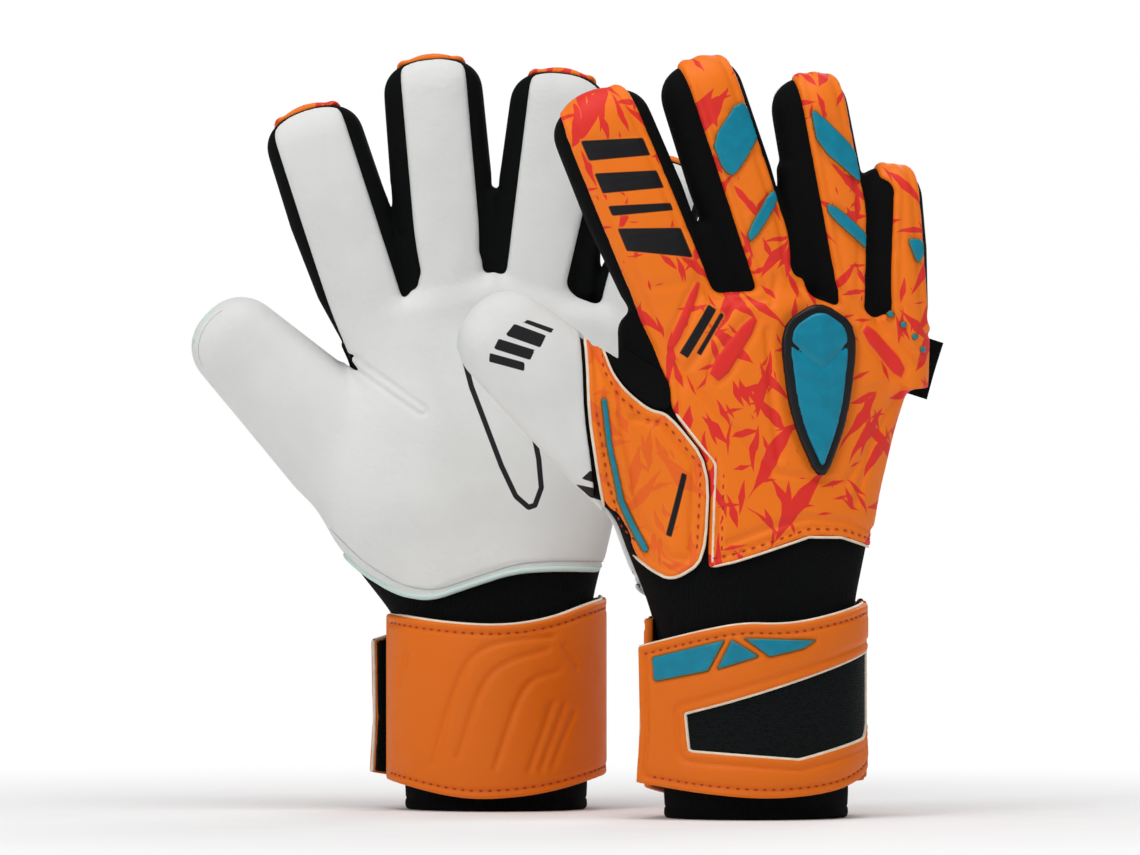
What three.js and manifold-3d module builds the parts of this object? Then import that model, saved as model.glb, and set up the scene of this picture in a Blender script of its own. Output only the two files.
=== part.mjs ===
// A pair of goalkeeper gloves standing on their cuffs, left glove behind and right glove in front of it.
// Millimetres, +Z up. The pair's origin is on the ground, under the middle of its bounding box.
// Each glove is modelled in its own frame: origin at the centre of the cuff rim, +Y towards the palm,
// -X towards the thumb, +Z towards the fingertips. The left glove is the same frame mirrored in Y.
import * as THREE from "three";
import { mergeVertices } from "three/addons/utils/BufferGeometryUtils.js";
import Module from "manifold-3d";

const wasm = await Module();
wasm.setup();

// Driving dimensions
const GAP = 0.3; // clearance between neighbouring pieces
const FACE_WALL = 5.5; // latex and foam of a palm or backhand panel
const SIDE_WALL = 4; // stretch fabric and lining of a gusset
const FINGER_GAP = 1.2; // clearance between neighbouring fingers at their roots
const SEAM_Y = 7.5; // half the width of the gusset strip between palm and backhand
const FAR = 400; // longer than any part of a glove
const RING_POINTS = 20; // corners of a finger's or the hand's section
const CUFF_POINTS = 36; // corners of the sleeve's section
const ARC_STEP = 12; // degrees per flat of a bent wall
const SQUARENESS = 2.7; // exponent of the superellipse sections

const HAND_APART = 80; // distance between the two gloves, front to back
const LINING = { thickness: 1.5, bottom: 94, top: 182 };
const LABEL = { width: 7.5, thickness: 1.2, height: 22, lean: 19, x: 65, z: 161 };
const GLOVES_X = { left: -28, right: 69 };
const RIGHT_YAW = THREE.MathUtils.degToRad(14);

// The hand from wrist to knuckles: height, thumb side, little-finger side, back and palm surfaces.
const HAND_SECTIONS = [
  [82, -42, 38, -25, 25],
  [98, -48, 42, -22, 25],
  [120, -55, 47, -19, 24],
  [145, -57, 54, -17, 22],
  [167, -52, 62, -16, 19],
  [185, -54, 66, -15, 16],
  [207, -56, 67, -14, 14],
];

// Finger stations: share of the length, half width, half thickness; the tip is rounded after the last one.
const FINGER_STATIONS = [
  [-0.15, 0.84, 1.05],
  [0, 0.84, 1.04],
  [0.3, 0.93, 1.02],
  [0.6, 1, 1],
  [0.84, 0.97, 0.93],
];
const THUMB_STATIONS = [
  [-0.75, 1.15, 1.1],
  [-0.1, 1.12, 1.05],
  [0.35, 1, 1],
  [0.75, 0.88, 0.9],
];
const TIP_ROUNDING = 13; // length over which a fingertip closes
// Where a tip's rings lie in that length, the exponent of its curve, and the least width and depth at its end
const TIP = { shares: [0.35, 0.6, 0.8, 0.93, 1], exponent: 2.4, width: 0.3, depth: 0.45 };
// The block of space a digit owns: half width over the digit's, thickness, and length past the tip
const DIGIT_BLOCK = { widening: 1.2, thickness: 80, past: 20 };

const FINGER = { halfWidth: 18, halfThickness: 12.5, hingeY: 13.4 };
const THUMB = { halfWidth: 21.5, halfThickness: 14, hingeY: 15.2 };

// Digits of each glove: hinge point in the XZ plane, lean to the thumb in degrees, length past the hinge.
const DIGITS = {
  left: {
    index: { x: -47, z: 193, lean: 18, length: 77 },
    middle: { x: -16.5, z: 202, lean: 5, length: 84 },
    ring: { x: 17, z: 201, lean: -6, length: 80 },
    pinky: { x: 51.5, z: 191, lean: -11, length: 58, halfWidth: 16 },
    thumb: { x: -62, z: 146, lean: 40, length: 66 },
  },
  right: {
    index: { x: -40, z: 194, lean: 22, length: 78 },
    middle: { x: -3.5, z: 201, lean: 16, length: 84 },
    ring: { x: 28.5, z: 196, lean: 8, length: 81 },
    pinky: { x: 55, z: 184, lean: 4, length: 59, halfWidth: 15 },
    thumb: { x: -60, z: 147, lean: 45, length: 66 },
  },
};

// The cuff's layers, as semi-axes [x, y] of their elliptical sections, from the inside out.
// The inner sleeve narrows above the strap and ends inside the wrist; each row is height, semi-axes.
const SLEEVE_OUTSIDE = [[0, 34.5, 29], [70, 34.5, 29], [73.5, 31, 18.3], [89, 30, 15.5]];
const SLEEVE_INSIDE = [[-1, 31.5, 26], [67, 31.5, 26], [71.5, 28.5, 15.6], [90, 27.5, 12.9]];
const LOOP_TAPE = { inner: [34.8, 29.3], outer: [36.2, 30.7], arc: [-158, -60], heights: [16, 62] };
const HOOK_TAPE = { inner: [36.5, 31], outer: [38.2, 32.7], arc: [-152, -118], heights: [18, 58] };
const BAND = { inner: [38.5, 33], outer: [42.5, 37] };
const WINDOW = { inner: [39.3, 33.8], outer: [41.2, 35.7] };
const INLAY = { inner: [42.8, 37.3], outer: [43.9, 38.4] };

// Outlines in the glove's XZ plane
const PALM_HEM = [[-90, 112], [-67, 109], [-50, 92], [-28, 80], [-5, 84], [14, 90], [60, 92]];
const BACK_HEM = [[-90, 116], [-57, 108], [-40, 89], [-24, 92], [13, 104], [60, 97]];
const THUMB_BASE_OUTLINE = [
  [-21, 92], [-21, 130], [-36, 148], [-50, 156], [-57, 166], [-66, 182],
  [-68, 153], [-63, 127], [-58, 108], [-40, 80],
];
const THUMB_GAP_OUTLINE = [[-36, 148], [-50, 156], [-57, 166], [-66, 182], [-40, 188], [-40, 172]];
const BACKHAND_OUTLINE = [
  [-21, 60], [-21, 130], [-36, 148], [-40, 172], [-70, 200], [-70, 240], [120, 240], [120, 60],
];
const EMBLEM_OUTLINE = [[4, 182], [20, 192], [35, 182], [31, 148], [20, 122], [8, 148]];
const STRAP_OUTLINE = [
  [-60, 12], [-46, 12], [-20, 7], [0, 6], [20, 9], [60, 15],
  [60, 77], [36, 75.5], [20, 73], [-20, 71], [-60, 65],
];
const WINDOW_OUTLINE = [[-30, 27], [-20, 23], [13, 21], [30, 26], [35, 44], [36, 60], [0, 51], [-30, 41]];
const INLAY_OUTLINE = [[-38, 50], [-38, 59], [-19, 66], [14, 66.5], [-4, 59], [-34, 48.5]];
// Angles round the cuff where the palm band and the flap end, and how far the flap's free end reaches
const BAND_ARC = [-8, 178];
const FLAP = { from: -152, to: -9, reach: -47, slope: [-0.97, 0.24], overlap: 0.5 };
const INLAY_TO = -40; // angle where the inlay on the flap ends
const STRAP_HEIGHT = 90; // taller than the strap's outline
// The raised emblem: height of its base and inlay over the backhand, the inlay's margin, and its middle
const EMBLEM = { base: 2.2, inlay: 3.4, margin: 0.22, middle: [20, 157], face: -5, root: -0.2 };
const PINKY_SEAM = { from: 8, top: 183 }; // the gusset along the hand's little-finger side

const COLOURS = {
  latex: 0xe4e6e2,
  orange: 0xf07818,
  black: 0x101214,
  lining: 0x2a2c2e,
  teal: 0x0a9cb4,
  tape: 0x1b1c1e,
};
const MATERIALS = Object.fromEntries(
  Object.entries(COLOURS).map(([name, color]) => [
    name,
    new THREE.MeshStandardMaterial({ color, roughness: name === "teal" ? 0.45 : 0.8, metalness: 0 }),
  ]),
);

// Solids

function solidOf(geometry) {
  const bare = new THREE.BufferGeometry().setAttribute("position", geometry.getAttribute("position"));
  bare.setIndex(geometry.getIndex());
  const merged = mergeVertices(bare, 1e-4);
  const solid = new wasm.Manifold(
    new wasm.Mesh({
      numProp: 3,
      vertProperties: merged.attributes.position.array,
      triVerts: new Uint32Array(merged.index.array),
    }),
  );
  return solid;
}

function geometryOf(solid) {
  const mesh = solid.getMesh();
  const points = new Float32Array(mesh.numVert * 3);
  for (let i = 0; i < mesh.numVert; i++) {
    points.set(mesh.vertProperties.subarray(i * mesh.numProp, i * mesh.numProp + 3), i * 3);
  }
  const geometry = new THREE.BufferGeometry();
  geometry.setAttribute("position", new THREE.BufferAttribute(points, 3));
  geometry.setIndex(new THREE.BufferAttribute(mesh.triVerts, 1));
  geometry.computeVertexNormals();
  return geometry;
}

const union = (...solids) => solids.reduce((all, next) => all.add(next));
const minus = (solid, ...tools) => tools.reduce((left, tool) => left.subtract(tool), solid);

// The largest body of a cut solid, without the crumbs that a cut leaves beside it.
const mainBody = (solid) => solid.decompose().reduce((a, b) => (a.volume() > b.volume() ? a : b));

// A closed solid through rings of points, capped at both ends.
function loft(rings) {
  const count = rings[0].length;
  const points = rings.flat();
  const faces = [];
  for (let r = 0; r + 1 < rings.length; r++) {
    for (let i = 0; i < count; i++) {
      const j = (i + 1) % count;
      const [a, b, c, d] = [r * count + i, r * count + j, (r + 1) * count + j, (r + 1) * count + i];
      faces.push(a, b, c, a, c, d);
    }
  }
  for (const [first, flip] of [[0, true], [(rings.length - 1) * count, false]]) {
    for (let i = 1; i + 1 < count; i++) {
      faces.push(first, first + (flip ? i + 1 : i), first + (flip ? i : i + 1));
    }
  }
  const geometry = new THREE.BufferGeometry().setFromPoints(points);
  geometry.setIndex(faces);
  return solidOf(geometry);
}

function superellipse(cx, cy, a, b) {
  const bend = (v) => Math.sign(v) * Math.abs(v) ** (2 / SQUARENESS);
  return Array.from({ length: RING_POINTS }, (_, i) => {
    const angle = (2 * Math.PI * i) / RING_POINTS;
    return [cx + a * bend(Math.cos(angle)), cy + b * bend(Math.sin(angle))];
  });
}

// An outline in the XZ plane, swept along Y from y0 to y1.
function prism(outline, y0, y1) {
  const shape = new THREE.Shape(outline.map(([x, z]) => new THREE.Vector2(x, z)));
  const geometry = new THREE.ExtrudeGeometry(shape, { depth: y1 - y0, bevelEnabled: false, steps: 1 });
  geometry.rotateX(Math.PI / 2).translate(0, y1, 0);
  return solidOf(geometry);
}

function box(x0, x1, y0, y1, z0, z1) {
  const geometry = new THREE.BoxGeometry(x1 - x0, y1 - y0, z1 - z0);
  geometry.translate((x0 + x1) / 2, (y0 + y1) / 2, (z0 + z1) / 2);
  return solidOf(geometry);
}

// An arc of an elliptical wall, angles in degrees from +X towards +Y, standing from z0 to z1.
function wall({ inner, outer }, from, to, z0, z1) {
  const steps = Math.max(4, Math.round(Math.abs(to - from) / ARC_STEP));
  const along = ([a, b], k) => {
    const angle = THREE.MathUtils.degToRad(from + ((to - from) * k) / steps);
    return new THREE.Vector2(a * Math.cos(angle), b * Math.sin(angle));
  };
  const count = Array.from({ length: steps + 1 }, (_, k) => k);
  const outline = [...count.map((k) => along(outer, k)), ...count.reverse().map((k) => along(inner, k))];
  const geometry = new THREE.ExtrudeGeometry(new THREE.Shape(outline), {
    depth: z1 - z0,
    bevelEnabled: false,
    steps: 1,
  });
  return solidOf(geometry.translate(0, 0, z0));
}

// A solid whose elliptical sections are listed from the bottom up as [height, semi-axes].
function ellipseStack(sections) {
  const angles = Array.from({ length: CUFF_POINTS }, (_, i) => (2 * Math.PI * i) / CUFF_POINTS);
  return loft(
    sections.map(([z, a, b]) => angles.map((t) => new THREE.Vector3(a * Math.cos(t), b * Math.sin(t), z))),
  );
}

// The hand between wrist and knuckles, grown outwards by `grow` (negative: shrunk) and down by `reach`.
function handLoft(grow, sideGrow = grow, reach = 0) {
  const [[wristZ, ...wrist]] = HAND_SECTIONS;
  const below = reach > 0 ? [[wristZ - reach, ...wrist]] : [];
  return loft(
    [...below, ...HAND_SECTIONS].map(([z, x0, x1, y0, y1]) =>
      superellipse((x0 + x1) / 2, (y0 + y1) / 2, (x1 - x0) / 2 + sideGrow, (y1 - y0) / 2 + grow).map(
        ([x, y]) => new THREE.Vector3(x, y, z),
      ),
    ),
  );
}

// Digits

// The frame of a digit: origin on its axis at the hinge plane, +Z along the digit.
function digitFrame(digit) {
  const lean = THREE.MathUtils.degToRad(digit.lean);
  return new THREE.Matrix4().makeRotationY(-lean).setPosition(digit.x, 0, digit.z);
}

function digitLoft(digit, stations, size, inset) {
  const halfWidth = digit.halfWidth ?? size.halfWidth;
  const frame = digitFrame(digit);
  const end = digit.length - (inset ? FACE_WALL : 0);
  const shoulder = end - TIP_ROUNDING;
  const [wide, deep] = [inset ? SIDE_WALL : 0, inset ? FACE_WALL : 0];
  const ring = (t, a, b) =>
    superellipse(0, 0, a, b).map(([u, v]) => new THREE.Vector3(u, v, t).applyMatrix4(frame));
  const body = stations.map(([share, w, h]) =>
    ring(share * digit.length, halfWidth * w - wide, size.halfThickness * h - deep),
  );
  const [, lastW, lastH] = stations.at(-1);
  const tip = TIP.shares.map((s) => {
    const closing = Math.max((1 - s ** TIP.exponent) ** (1 / TIP.exponent), TIP.width);
    return ring(
      shoulder + TIP_ROUNDING * s,
      (halfWidth * lastW - wide) * closing,
      (size.halfThickness * lastH - deep) * Math.max(closing, TIP.depth),
    );
  });
  return loft([...body, ...tip]);
}

// The block of space that a digit owns past its hinge plane.
function digitBlock(digit, size, from) {
  const half = (digit.halfWidth ?? size.halfWidth) * DIGIT_BLOCK.widening;
  const end = digit.length + DIGIT_BLOCK.past;
  const block = new THREE.BoxGeometry(2 * half, DIGIT_BLOCK.thickness, end - from);
  block.translate(0, 0, (end + from) / 2).applyMatrix4(digitFrame(digit));
  return solidOf(block);
}

// The space on one side of the plane that halves the angle between two neighbouring fingers.
// `side` is +1 for the space beyond the plane in +X, -1 for the space before it.
function beside(first, second, side) {
  const lean = THREE.MathUtils.degToRad((first.lean + second.lean) / 2);
  const half = new THREE.BoxGeometry(FAR, FAR, FAR);
  half.translate(side * (FAR / 2 - FINGER_GAP / 2), 0, 0).rotateY(-lean);
  half.translate((first.x + second.x) / 2, 0, (first.z + second.z) / 2);
  return solidOf(half);
}

function digitParts(digits) {
  const fingers = Object.values(digits).filter((digit) => digit !== digits.thumb);
  return Object.entries(digits).map(([name, digit]) => {
    const thumb = name === "thumb";
    const [stations, size] = thumb ? [THUMB_STATIONS, THUMB] : [FINGER_STATIONS, FINGER];
    const place = fingers.indexOf(digit);
    const neighbours = [];
    if (place > 0) neighbours.push(beside(fingers[place - 1], digit, -1));
    if (place >= 0 && place + 1 < fingers.length) neighbours.push(beside(digit, fingers[place + 1], 1));
    return {
      name,
      digit,
      size,
      outer: digitLoft(digit, stations, size, false),
      inner: digitLoft(digit, stations, size, true),
      owned: minus(digitBlock(digit, size, GAP / 2), ...neighbours),
      kept: digitBlock(digit, size, -GAP / 2),
    };
  });
}

const palmSide = () => box(-FAR, FAR, SEAM_Y + GAP / 2, FAR, -FAR, FAR);
const backSide = () => box(-FAR, FAR, -FAR, -SEAM_Y - GAP / 2, -FAR, FAR);
const seamBand = () => box(-FAR, FAR, -SEAM_Y + GAP / 2, SEAM_Y - GAP / 2, -FAR, FAR);

// A finger's three walls: latex front, padded back, and the gusset that runs up one side and down the other.
function fingerPieces(part) {
  const shell = minus(part.outer, part.inner).intersect(part.owned);
  return {
    front: [shell.intersect(palmSide()), "latex"],
    back: [shell.intersect(backSide()), "orange"],
    gusset: [shell.intersect(seamBand()), "black"],
  };
}

const thumbPieces = (part) => ({
  wrap: [minus(part.outer, part.inner).intersect(part.owned), "latex"],
});

// Hand

const below = (hem) => [[-FAR / 2, -FAR / 2], ...hem, [FAR / 2, hem.at(-1)[1]], [FAR / 2, -FAR / 2]];
const lowered = (hem, by) => hem.map(([x, z]) => [x, z - by]);

function knitSpace(by) {
  return union(
    prism(below(lowered(PALM_HEM, by)), -0.01, FAR / 2),
    prism(below(lowered(BACK_HEM, by)), -FAR / 2, 0),
  );
}

// An outline grown outwards by a distance, corner by corner.
function grown(outline, by) {
  const points = outline.map(([x, z]) => new THREE.Vector2(x, z));
  const turn = THREE.ShapeUtils.isClockWise(points) ? -1 : 1;
  const origin = new THREE.Vector2();
  const normal = (a, b) => b.clone().sub(a).normalize().rotateAround(origin, (-turn * Math.PI) / 2);
  return points.map((point, i) => {
    const before = normal(points.at(i - 1), point);
    const after = normal(point, points[(i + 1) % points.length]);
    const corner = before.clone().add(after).multiplyScalar(by / (1 + before.dot(after)));
    return [point.x + corner.x, point.y + corner.y];
  });
}

// The part of the glove's back inside an outline, with a margin all round.
const onBack = (outline, margin = 0) =>
  prism(grown(outline, margin), -FAR / 2, -SEAM_Y - GAP / 2 + margin);

function pinkySeam(margin) {
  const half = SEAM_Y - GAP / 2 + margin;
  return box(PINKY_SEAM.from - margin, FAR / 2, -half, half, 0, PINKY_SEAM.top + margin);
}

function handPieces(parts) {
  const outer = union(handLoft(0), ...parts.map((p) => p.outer));
  const inner = union(handLoft(-FACE_WALL, -SIDE_WALL, 1), ...parts.map((p) => p.inner));
  const shell = minus(outer, inner, ...parts.map((p) => p.kept));
  const panels = minus(shell, knitSpace(0));
  const backhand = panels.intersect(onBack(BACKHAND_OUTLINE));
  const besideBackhand = minus(panels, onBack(BACKHAND_OUTLINE, GAP));
  return {
    backhand_panel: [backhand, "orange"],
    thumb_base_panel: [
      minus(besideBackhand.intersect(onBack(THUMB_BASE_OUTLINE)), onBack(THUMB_GAP_OUTLINE, GAP)),
      "orange",
    ],
    thumb_gap_insert: [besideBackhand.intersect(onBack(THUMB_GAP_OUTLINE)), "black"],
    pinky_side_gusset: [panels.intersect(pinkySeam(0)), "black"],
    palm_panel: [
      minus(
        besideBackhand,
        onBack(THUMB_BASE_OUTLINE, GAP),
        onBack(THUMB_GAP_OUTLINE, GAP),
        pinkySeam(GAP),
      ),
      "latex",
    ],
    wrist_knit: [shell.intersect(knitSpace(GAP)), "black"],
  };
}

function handLining(parts) {
  const lining = minus(
    handLoft(-FACE_WALL - GAP, -SIDE_WALL - GAP),
    handLoft(-FACE_WALL - GAP - LINING.thickness, -SIDE_WALL - GAP - LINING.thickness, 1),
    ...parts.map((p) => p.inner),
    ...parts.map((p) => p.kept),
  );
  return lining.intersect(box(-FAR, FAR, -FAR, FAR, LINING.bottom, LINING.top));
}

function emblemPieces() {
  const { base, inlay, margin, middle: [cx, cz], face, root } = EMBLEM;
  const column = (outline) => prism(outline, -FAR / 2, face);
  const inset = EMBLEM_OUTLINE.map(([x, z]) => [cx + (x - cx) * (1 - margin), cz + (z - cz) * (1 - margin)]);
  const layer = (from, to) => minus(handLoft(to, 0), handLoft(from, root));
  return {
    emblem_base: [layer(GAP, base).intersect(column(EMBLEM_OUTLINE)), "black"],
    emblem_inlay: [layer(base + GAP, inlay).intersect(column(inset)), "teal"],
  };
}

function sideLabel() {
  const label = new THREE.BoxGeometry(LABEL.width, LABEL.thickness, LABEL.height);
  label.rotateY(THREE.MathUtils.degToRad(LABEL.lean)).translate(LABEL.x, 0, LABEL.z);
  return solidOf(label);
}

// Cuff

// The flap's free end, which leaves the cuff along a straight line.
function flapTab() {
  const turn = THREE.MathUtils.degToRad(FLAP.from);
  const edge = ([a, b]) => [a * Math.cos(turn), b * Math.sin(turn)];
  const end = ([x, y]) => [FLAP.reach, y + ((FLAP.reach - x) / FLAP.slope[0]) * FLAP.slope[1]];
  const [outer, inner] = [edge(BAND.outer), edge(BAND.inner)];
  const corners = [outer, inner, end(inner), end(outer)];
  const tab = new THREE.Shape(corners.map(([x, y]) => new THREE.Vector2(x, y)));
  return solidOf(new THREE.ExtrudeGeometry(tab, { depth: STRAP_HEIGHT, bevelEnabled: false }));
}

function cuffPieces() {
  const strap = prism(STRAP_OUTLINE, -FAR / 2, FAR / 2);
  const strapWall = (layer, from, to) => wall(layer, from, to, 0, STRAP_HEIGHT);
  const tape = (layer) => wall(layer, ...layer.arc, ...layer.heights);
  const flap = union(strapWall(BAND, FLAP.from - FLAP.overlap, FLAP.to), flapTab());
  const windowCut = onBack(WINDOW_OUTLINE);
  const windowInset = onBack(grown(WINDOW_OUTLINE, -GAP));
  return {
    cuff_sleeve: [minus(ellipseStack(SLEEVE_OUTSIDE), ellipseStack(SLEEVE_INSIDE)), "black"],
    palm_band: [strapWall(BAND, ...BAND_ARC).intersect(strap), "orange"],
    loop_patch: [tape(LOOP_TAPE), "tape"],
    strap_flap: [minus(flap.intersect(strap), windowCut), "orange"],
    strap_window: [strapWall(WINDOW, FLAP.from, FLAP.to - 1).intersect(windowInset), "black"],
    hook_patch: [tape(HOOK_TAPE), "tape"],
    strap_inlay: [strapWall(INLAY, FLAP.from, INLAY_TO).intersect(onBack(INLAY_OUTLINE)), "teal"],
  };
}

// Assembly

const BODY_OF = {
  strap_flap: "strap",
  strap_window: "strap",
  hook_patch: "strap",
  strap_inlay: "strap",
};

// The point each moving group turns about, in the glove's frame.
const WRIST_HINGE = new THREE.Vector3(0, 0, 84);
const STRAP_HINGE = new THREE.Vector3(41.5, -7, 42);

function placed(group, frame) {
  group.applyMatrix4(frame);
  return group;
}

function glove(side) {
  const parts = digitParts(DIGITS[side]);
  const cuff = new THREE.Group();
  const groups = { cuff, strap: new THREE.Group(), hand: new THREE.Group() };
  groups.strap.position.copy(STRAP_HINGE);
  groups.hand.position.copy(WRIST_HINGE);
  cuff.add(groups.strap, groups.hand);
  for (const { name, digit, size } of parts) {
    const hinge = new THREE.Matrix4().makeTranslation(0, size.hingeY, 0);
    const frame = digitFrame(digit).multiply(hinge);
    frame.premultiply(new THREE.Matrix4().makeTranslation(...WRIST_HINGE.toArray().map((v) => -v)));
    groups[name] = placed(new THREE.Group(), frame);
    groups.hand.add(groups[name]);
  }
  cuff.updateMatrixWorld(true);

  const add = (groupName, name, [solid, material]) => {
    const group = groups[groupName];
    const geometry = geometryOf(mainBody(solid)).applyMatrix4(group.matrixWorld.clone().invert());
    const mesh = new THREE.Mesh(geometry, MATERIALS[material]);
    mesh.name = side + "_" + name;
    group.add(mesh);
  };
  for (const [name, piece] of Object.entries(cuffPieces())) add(BODY_OF[name] ?? "cuff", name, piece);
  const hand = {
    ...handPieces(parts),
    ...emblemPieces(),
    hand_lining: [handLining(parts), "lining"],
    side_label: [sideLabel(), "black"],
  };
  for (const [name, piece] of Object.entries(hand)) add("hand", name, piece);
  for (const part of parts) {
    const pieces = part.name === "thumb" ? thumbPieces(part) : fingerPieces(part);
    for (const [wallName, piece] of Object.entries(pieces)) {
      add(part.name, part.name + "_" + wallName, piece);
    }
  }
  Object.entries(groups).forEach(([name, group]) => (group.name = side + ":" + name));
  return cuff;
}

const left = glove("left");
left.scale.y = -1;
left.position.set(GLOVES_X.left, HAND_APART / 2, 0);

const right = glove("right");
right.rotation.z = RIGHT_YAW;
right.position.set(GLOVES_X.right, -HAND_APART / 2, 0);

const pair = new THREE.Group();
pair.add(left, right);
pair.updateMatrixWorld(true);
const extent = new THREE.Box3().setFromObject(pair, true);
const middle = extent.getCenter(new THREE.Vector3());
pair.position.set(-middle.x, -middle.y, -extent.min.z);

export default pair;
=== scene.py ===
# The look of a pair of goalkeeper gloves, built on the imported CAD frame.
# Each glove is shaped in its own frame, in millimetres: origin at the middle of the cuff rim, +y towards
# the palm, -x towards the thumb, +z towards the fingertips. The left glove is that frame mirrored in y.
import math
import bpy
import numpy as np
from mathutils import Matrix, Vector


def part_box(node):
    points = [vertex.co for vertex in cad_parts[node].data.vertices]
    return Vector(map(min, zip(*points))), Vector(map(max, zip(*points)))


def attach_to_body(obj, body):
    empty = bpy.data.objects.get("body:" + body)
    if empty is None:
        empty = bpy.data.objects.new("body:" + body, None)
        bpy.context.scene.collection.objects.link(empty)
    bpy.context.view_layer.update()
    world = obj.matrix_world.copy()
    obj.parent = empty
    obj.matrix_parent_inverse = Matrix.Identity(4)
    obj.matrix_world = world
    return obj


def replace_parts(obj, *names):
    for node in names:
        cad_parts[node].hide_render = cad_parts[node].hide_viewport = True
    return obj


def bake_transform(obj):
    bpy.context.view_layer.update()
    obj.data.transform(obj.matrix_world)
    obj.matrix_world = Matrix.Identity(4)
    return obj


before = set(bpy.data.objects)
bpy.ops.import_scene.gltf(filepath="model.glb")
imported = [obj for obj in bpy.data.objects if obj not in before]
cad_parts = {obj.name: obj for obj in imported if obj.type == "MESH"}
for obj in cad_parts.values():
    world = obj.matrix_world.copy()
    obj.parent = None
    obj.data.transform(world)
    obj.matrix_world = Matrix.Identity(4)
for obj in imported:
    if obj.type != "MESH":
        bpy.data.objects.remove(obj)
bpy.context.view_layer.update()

import openvdb
from mathutils import Vector

STEP = 0.85  # spacing of the distance grids
STRIP_STEP = STEP * 0.82  # spacing for the cuff's thin strips
NEAR = 3.0  # distances are kept exact this near to a surface
GLOVE_BOX = ((-124, -34, 62), (82, 34, 296))
SIDES = ("left", "right")
FINGERS = ("index", "middle", "ring", "pinky")
DIGIT_NAMES = FINGERS + ("thumb",)
YAW = {"left": 0.0, "right": math.radians(14)}  # turn about the upright axis
MIRROR = {"left": -1.0, "right": 1.0}  # sign of the glove's y in the row

# Hand sections: height, little-finger side, back and palm surfaces
HAND_SECTIONS = np.array([
    [60, 36.5, -30, 30],
    [70, 37, -29, 29],
    [80, 38, -26, 26.5],
    [98, 42.5, -22, 25],
    [120, 47.5, -19, 24],
    [145, 54.5, -17, 22],
    [167, 62, -16, 19],
    [185, 66.5, -15, 16],
    [212, 67.5, -13.5, 14],
])
# The hand's thumb side, as heights and x
THUMB_SIDE = {
    "left": ([60, 70, 76, 82, 95, 105, 115, 130, 150, 167, 185, 212],
             [-37, -38.5, -42, -47, -57, -63, -67, -67, -60, -53, -54, -56]),
    "right": ([60, 70, 80, 98, 120, 145, 167, 185, 212],
              [-37, -38.5, -41.5, -49, -57, -58, -53, -54, -56]),
}

# Each digit's root, lean in degrees, length and widest half width
DIGITS = {
    "left": {
        "index": dict(x=-49, z=193, lean=18, length=77, half=20.4),
        "middle": dict(x=-17.7, z=202, lean=5, length=84, half=20.5),
        "ring": dict(x=15.8, z=201, lean=-7, length=80, half=20.4),
        "pinky": dict(x=51.5, z=191, lean=-16, length=58, half=16.5),
        "thumb": dict(x=-64, z=143.6, lean=46, length=63, half=21.5),
    },
    "right": {
        "index": dict(x=-32.5, z=194, lean=23, length=80.5, half=20.6),
        "middle": dict(x=2, z=201, lean=18.5, length=84.5, half=17.2),
        "ring": dict(x=33.2, z=196, lean=10.5, length=81.5, half=15.9),
        "pinky": dict(x=53.8, z=184, lean=4, length=59, half=14.6),
        "thumb": dict(x=-60, z=147, lean=50, length=62.5, half=21.5),
    },
}
# Where the webs between the fingers lie: x, z along the top of the hand
WEBS = {
    "left": [(-80, 181), (-62, 187), (-32, 196), (-1, 203), (33, 193), (64, 185), (80, 182)],
    "right": [(-80, 180), (-58, 186), (-14, 196), (15, 197), (43, 184), (66, 177), (80, 175)],
}
# Fabric stretched between neighbouring fingers: lowest and highest point, half width, half thickness
WEB_FABRIC = {
    "left": [((-31, 196), (-34.6, 214), 5.4, 8), ((-0.5, 204), (-1.3, 232), 5.6, 8),
             ((33.5, 196), (38, 222), 5.6, 8)],
    "right": [((-13.6, 196), (-21, 217), 7, 8), ((16, 198), (11.5, 240), 6, 8),
              ((44, 188), (45, 222), 5.4, 7)],
}
WEB_TAPER, WEB_BLEND = 0.45, 4.5
# Half width over the widest half width, then half thickness, by the share of a digit's length
FINGER_PROFILE = ([-0.5, -0.14, 0.08, 0.45, 0.8, 1], [0.6, 0.76, 0.92, 1.0, 0.98, 0.95])
THUMB_PROFILE = ([-0.75, -0.1, 0.35, 0.75, 1], [1.15, 1.1, 0.95, 0.82, 0.74])
FINGER_DEPTH = ([-0.5, 0, 0.4, 0.85, 1], [13.2, 13, 12.6, 11.6, 11])
THUMB_DEPTH = ([-0.75, 0, 0.4, 0.85, 1], [15, 14.6, 14, 12.6, 12])
FINGER_TIP, THUMB_TIP = 14.5, 15.0  # length of the rounded tips
FINGER_ROOT, THUMB_ROOT = -0.42, -0.75  # how far a digit runs into the hand, over its length
DIGIT_SQUARENESS, HAND_SQUARENESS = 2.35, 2.5  # exponents of their cross-sections, 2 being an oval
FINGER_LEAN = 0.012  # how much a finger rises towards the palm along its length
DIGIT_BLEND = 3.5  # rounding where a digit meets the hand
TOP_CROWN, TOP_ROUNDING = 0.016, 7  # the curve across the hand's top edge, and that edge's rounding
SECTION_SMOOTHING = 22  # height over which the hand's sections run into each other

SEAM_FRONT = 6.5  # the latex panels end this far in front of the mid-plane
SEAM_BACK = -5.0  # and the moulded backs end this far behind it
THUMB_SEAM_DROP = 9.5  # how much farther back the latex reaches round the thumb
TIP_SEAM_RISE = 8.5  # how much farther forward the backs reach over the fingertips
CORE_KEPT = (-50, 172, 24)  # x, z and radius round the thumb's gap where all the fabric is kept
CORE_INSET = 1.3  # the fabric lies this far inside the padded panels
PAD_LIFT = 0.7  # the moulded panels stand this far out
KNIT_TOP = 97  # height where the wrist's knit meets the gusset fabric


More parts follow.
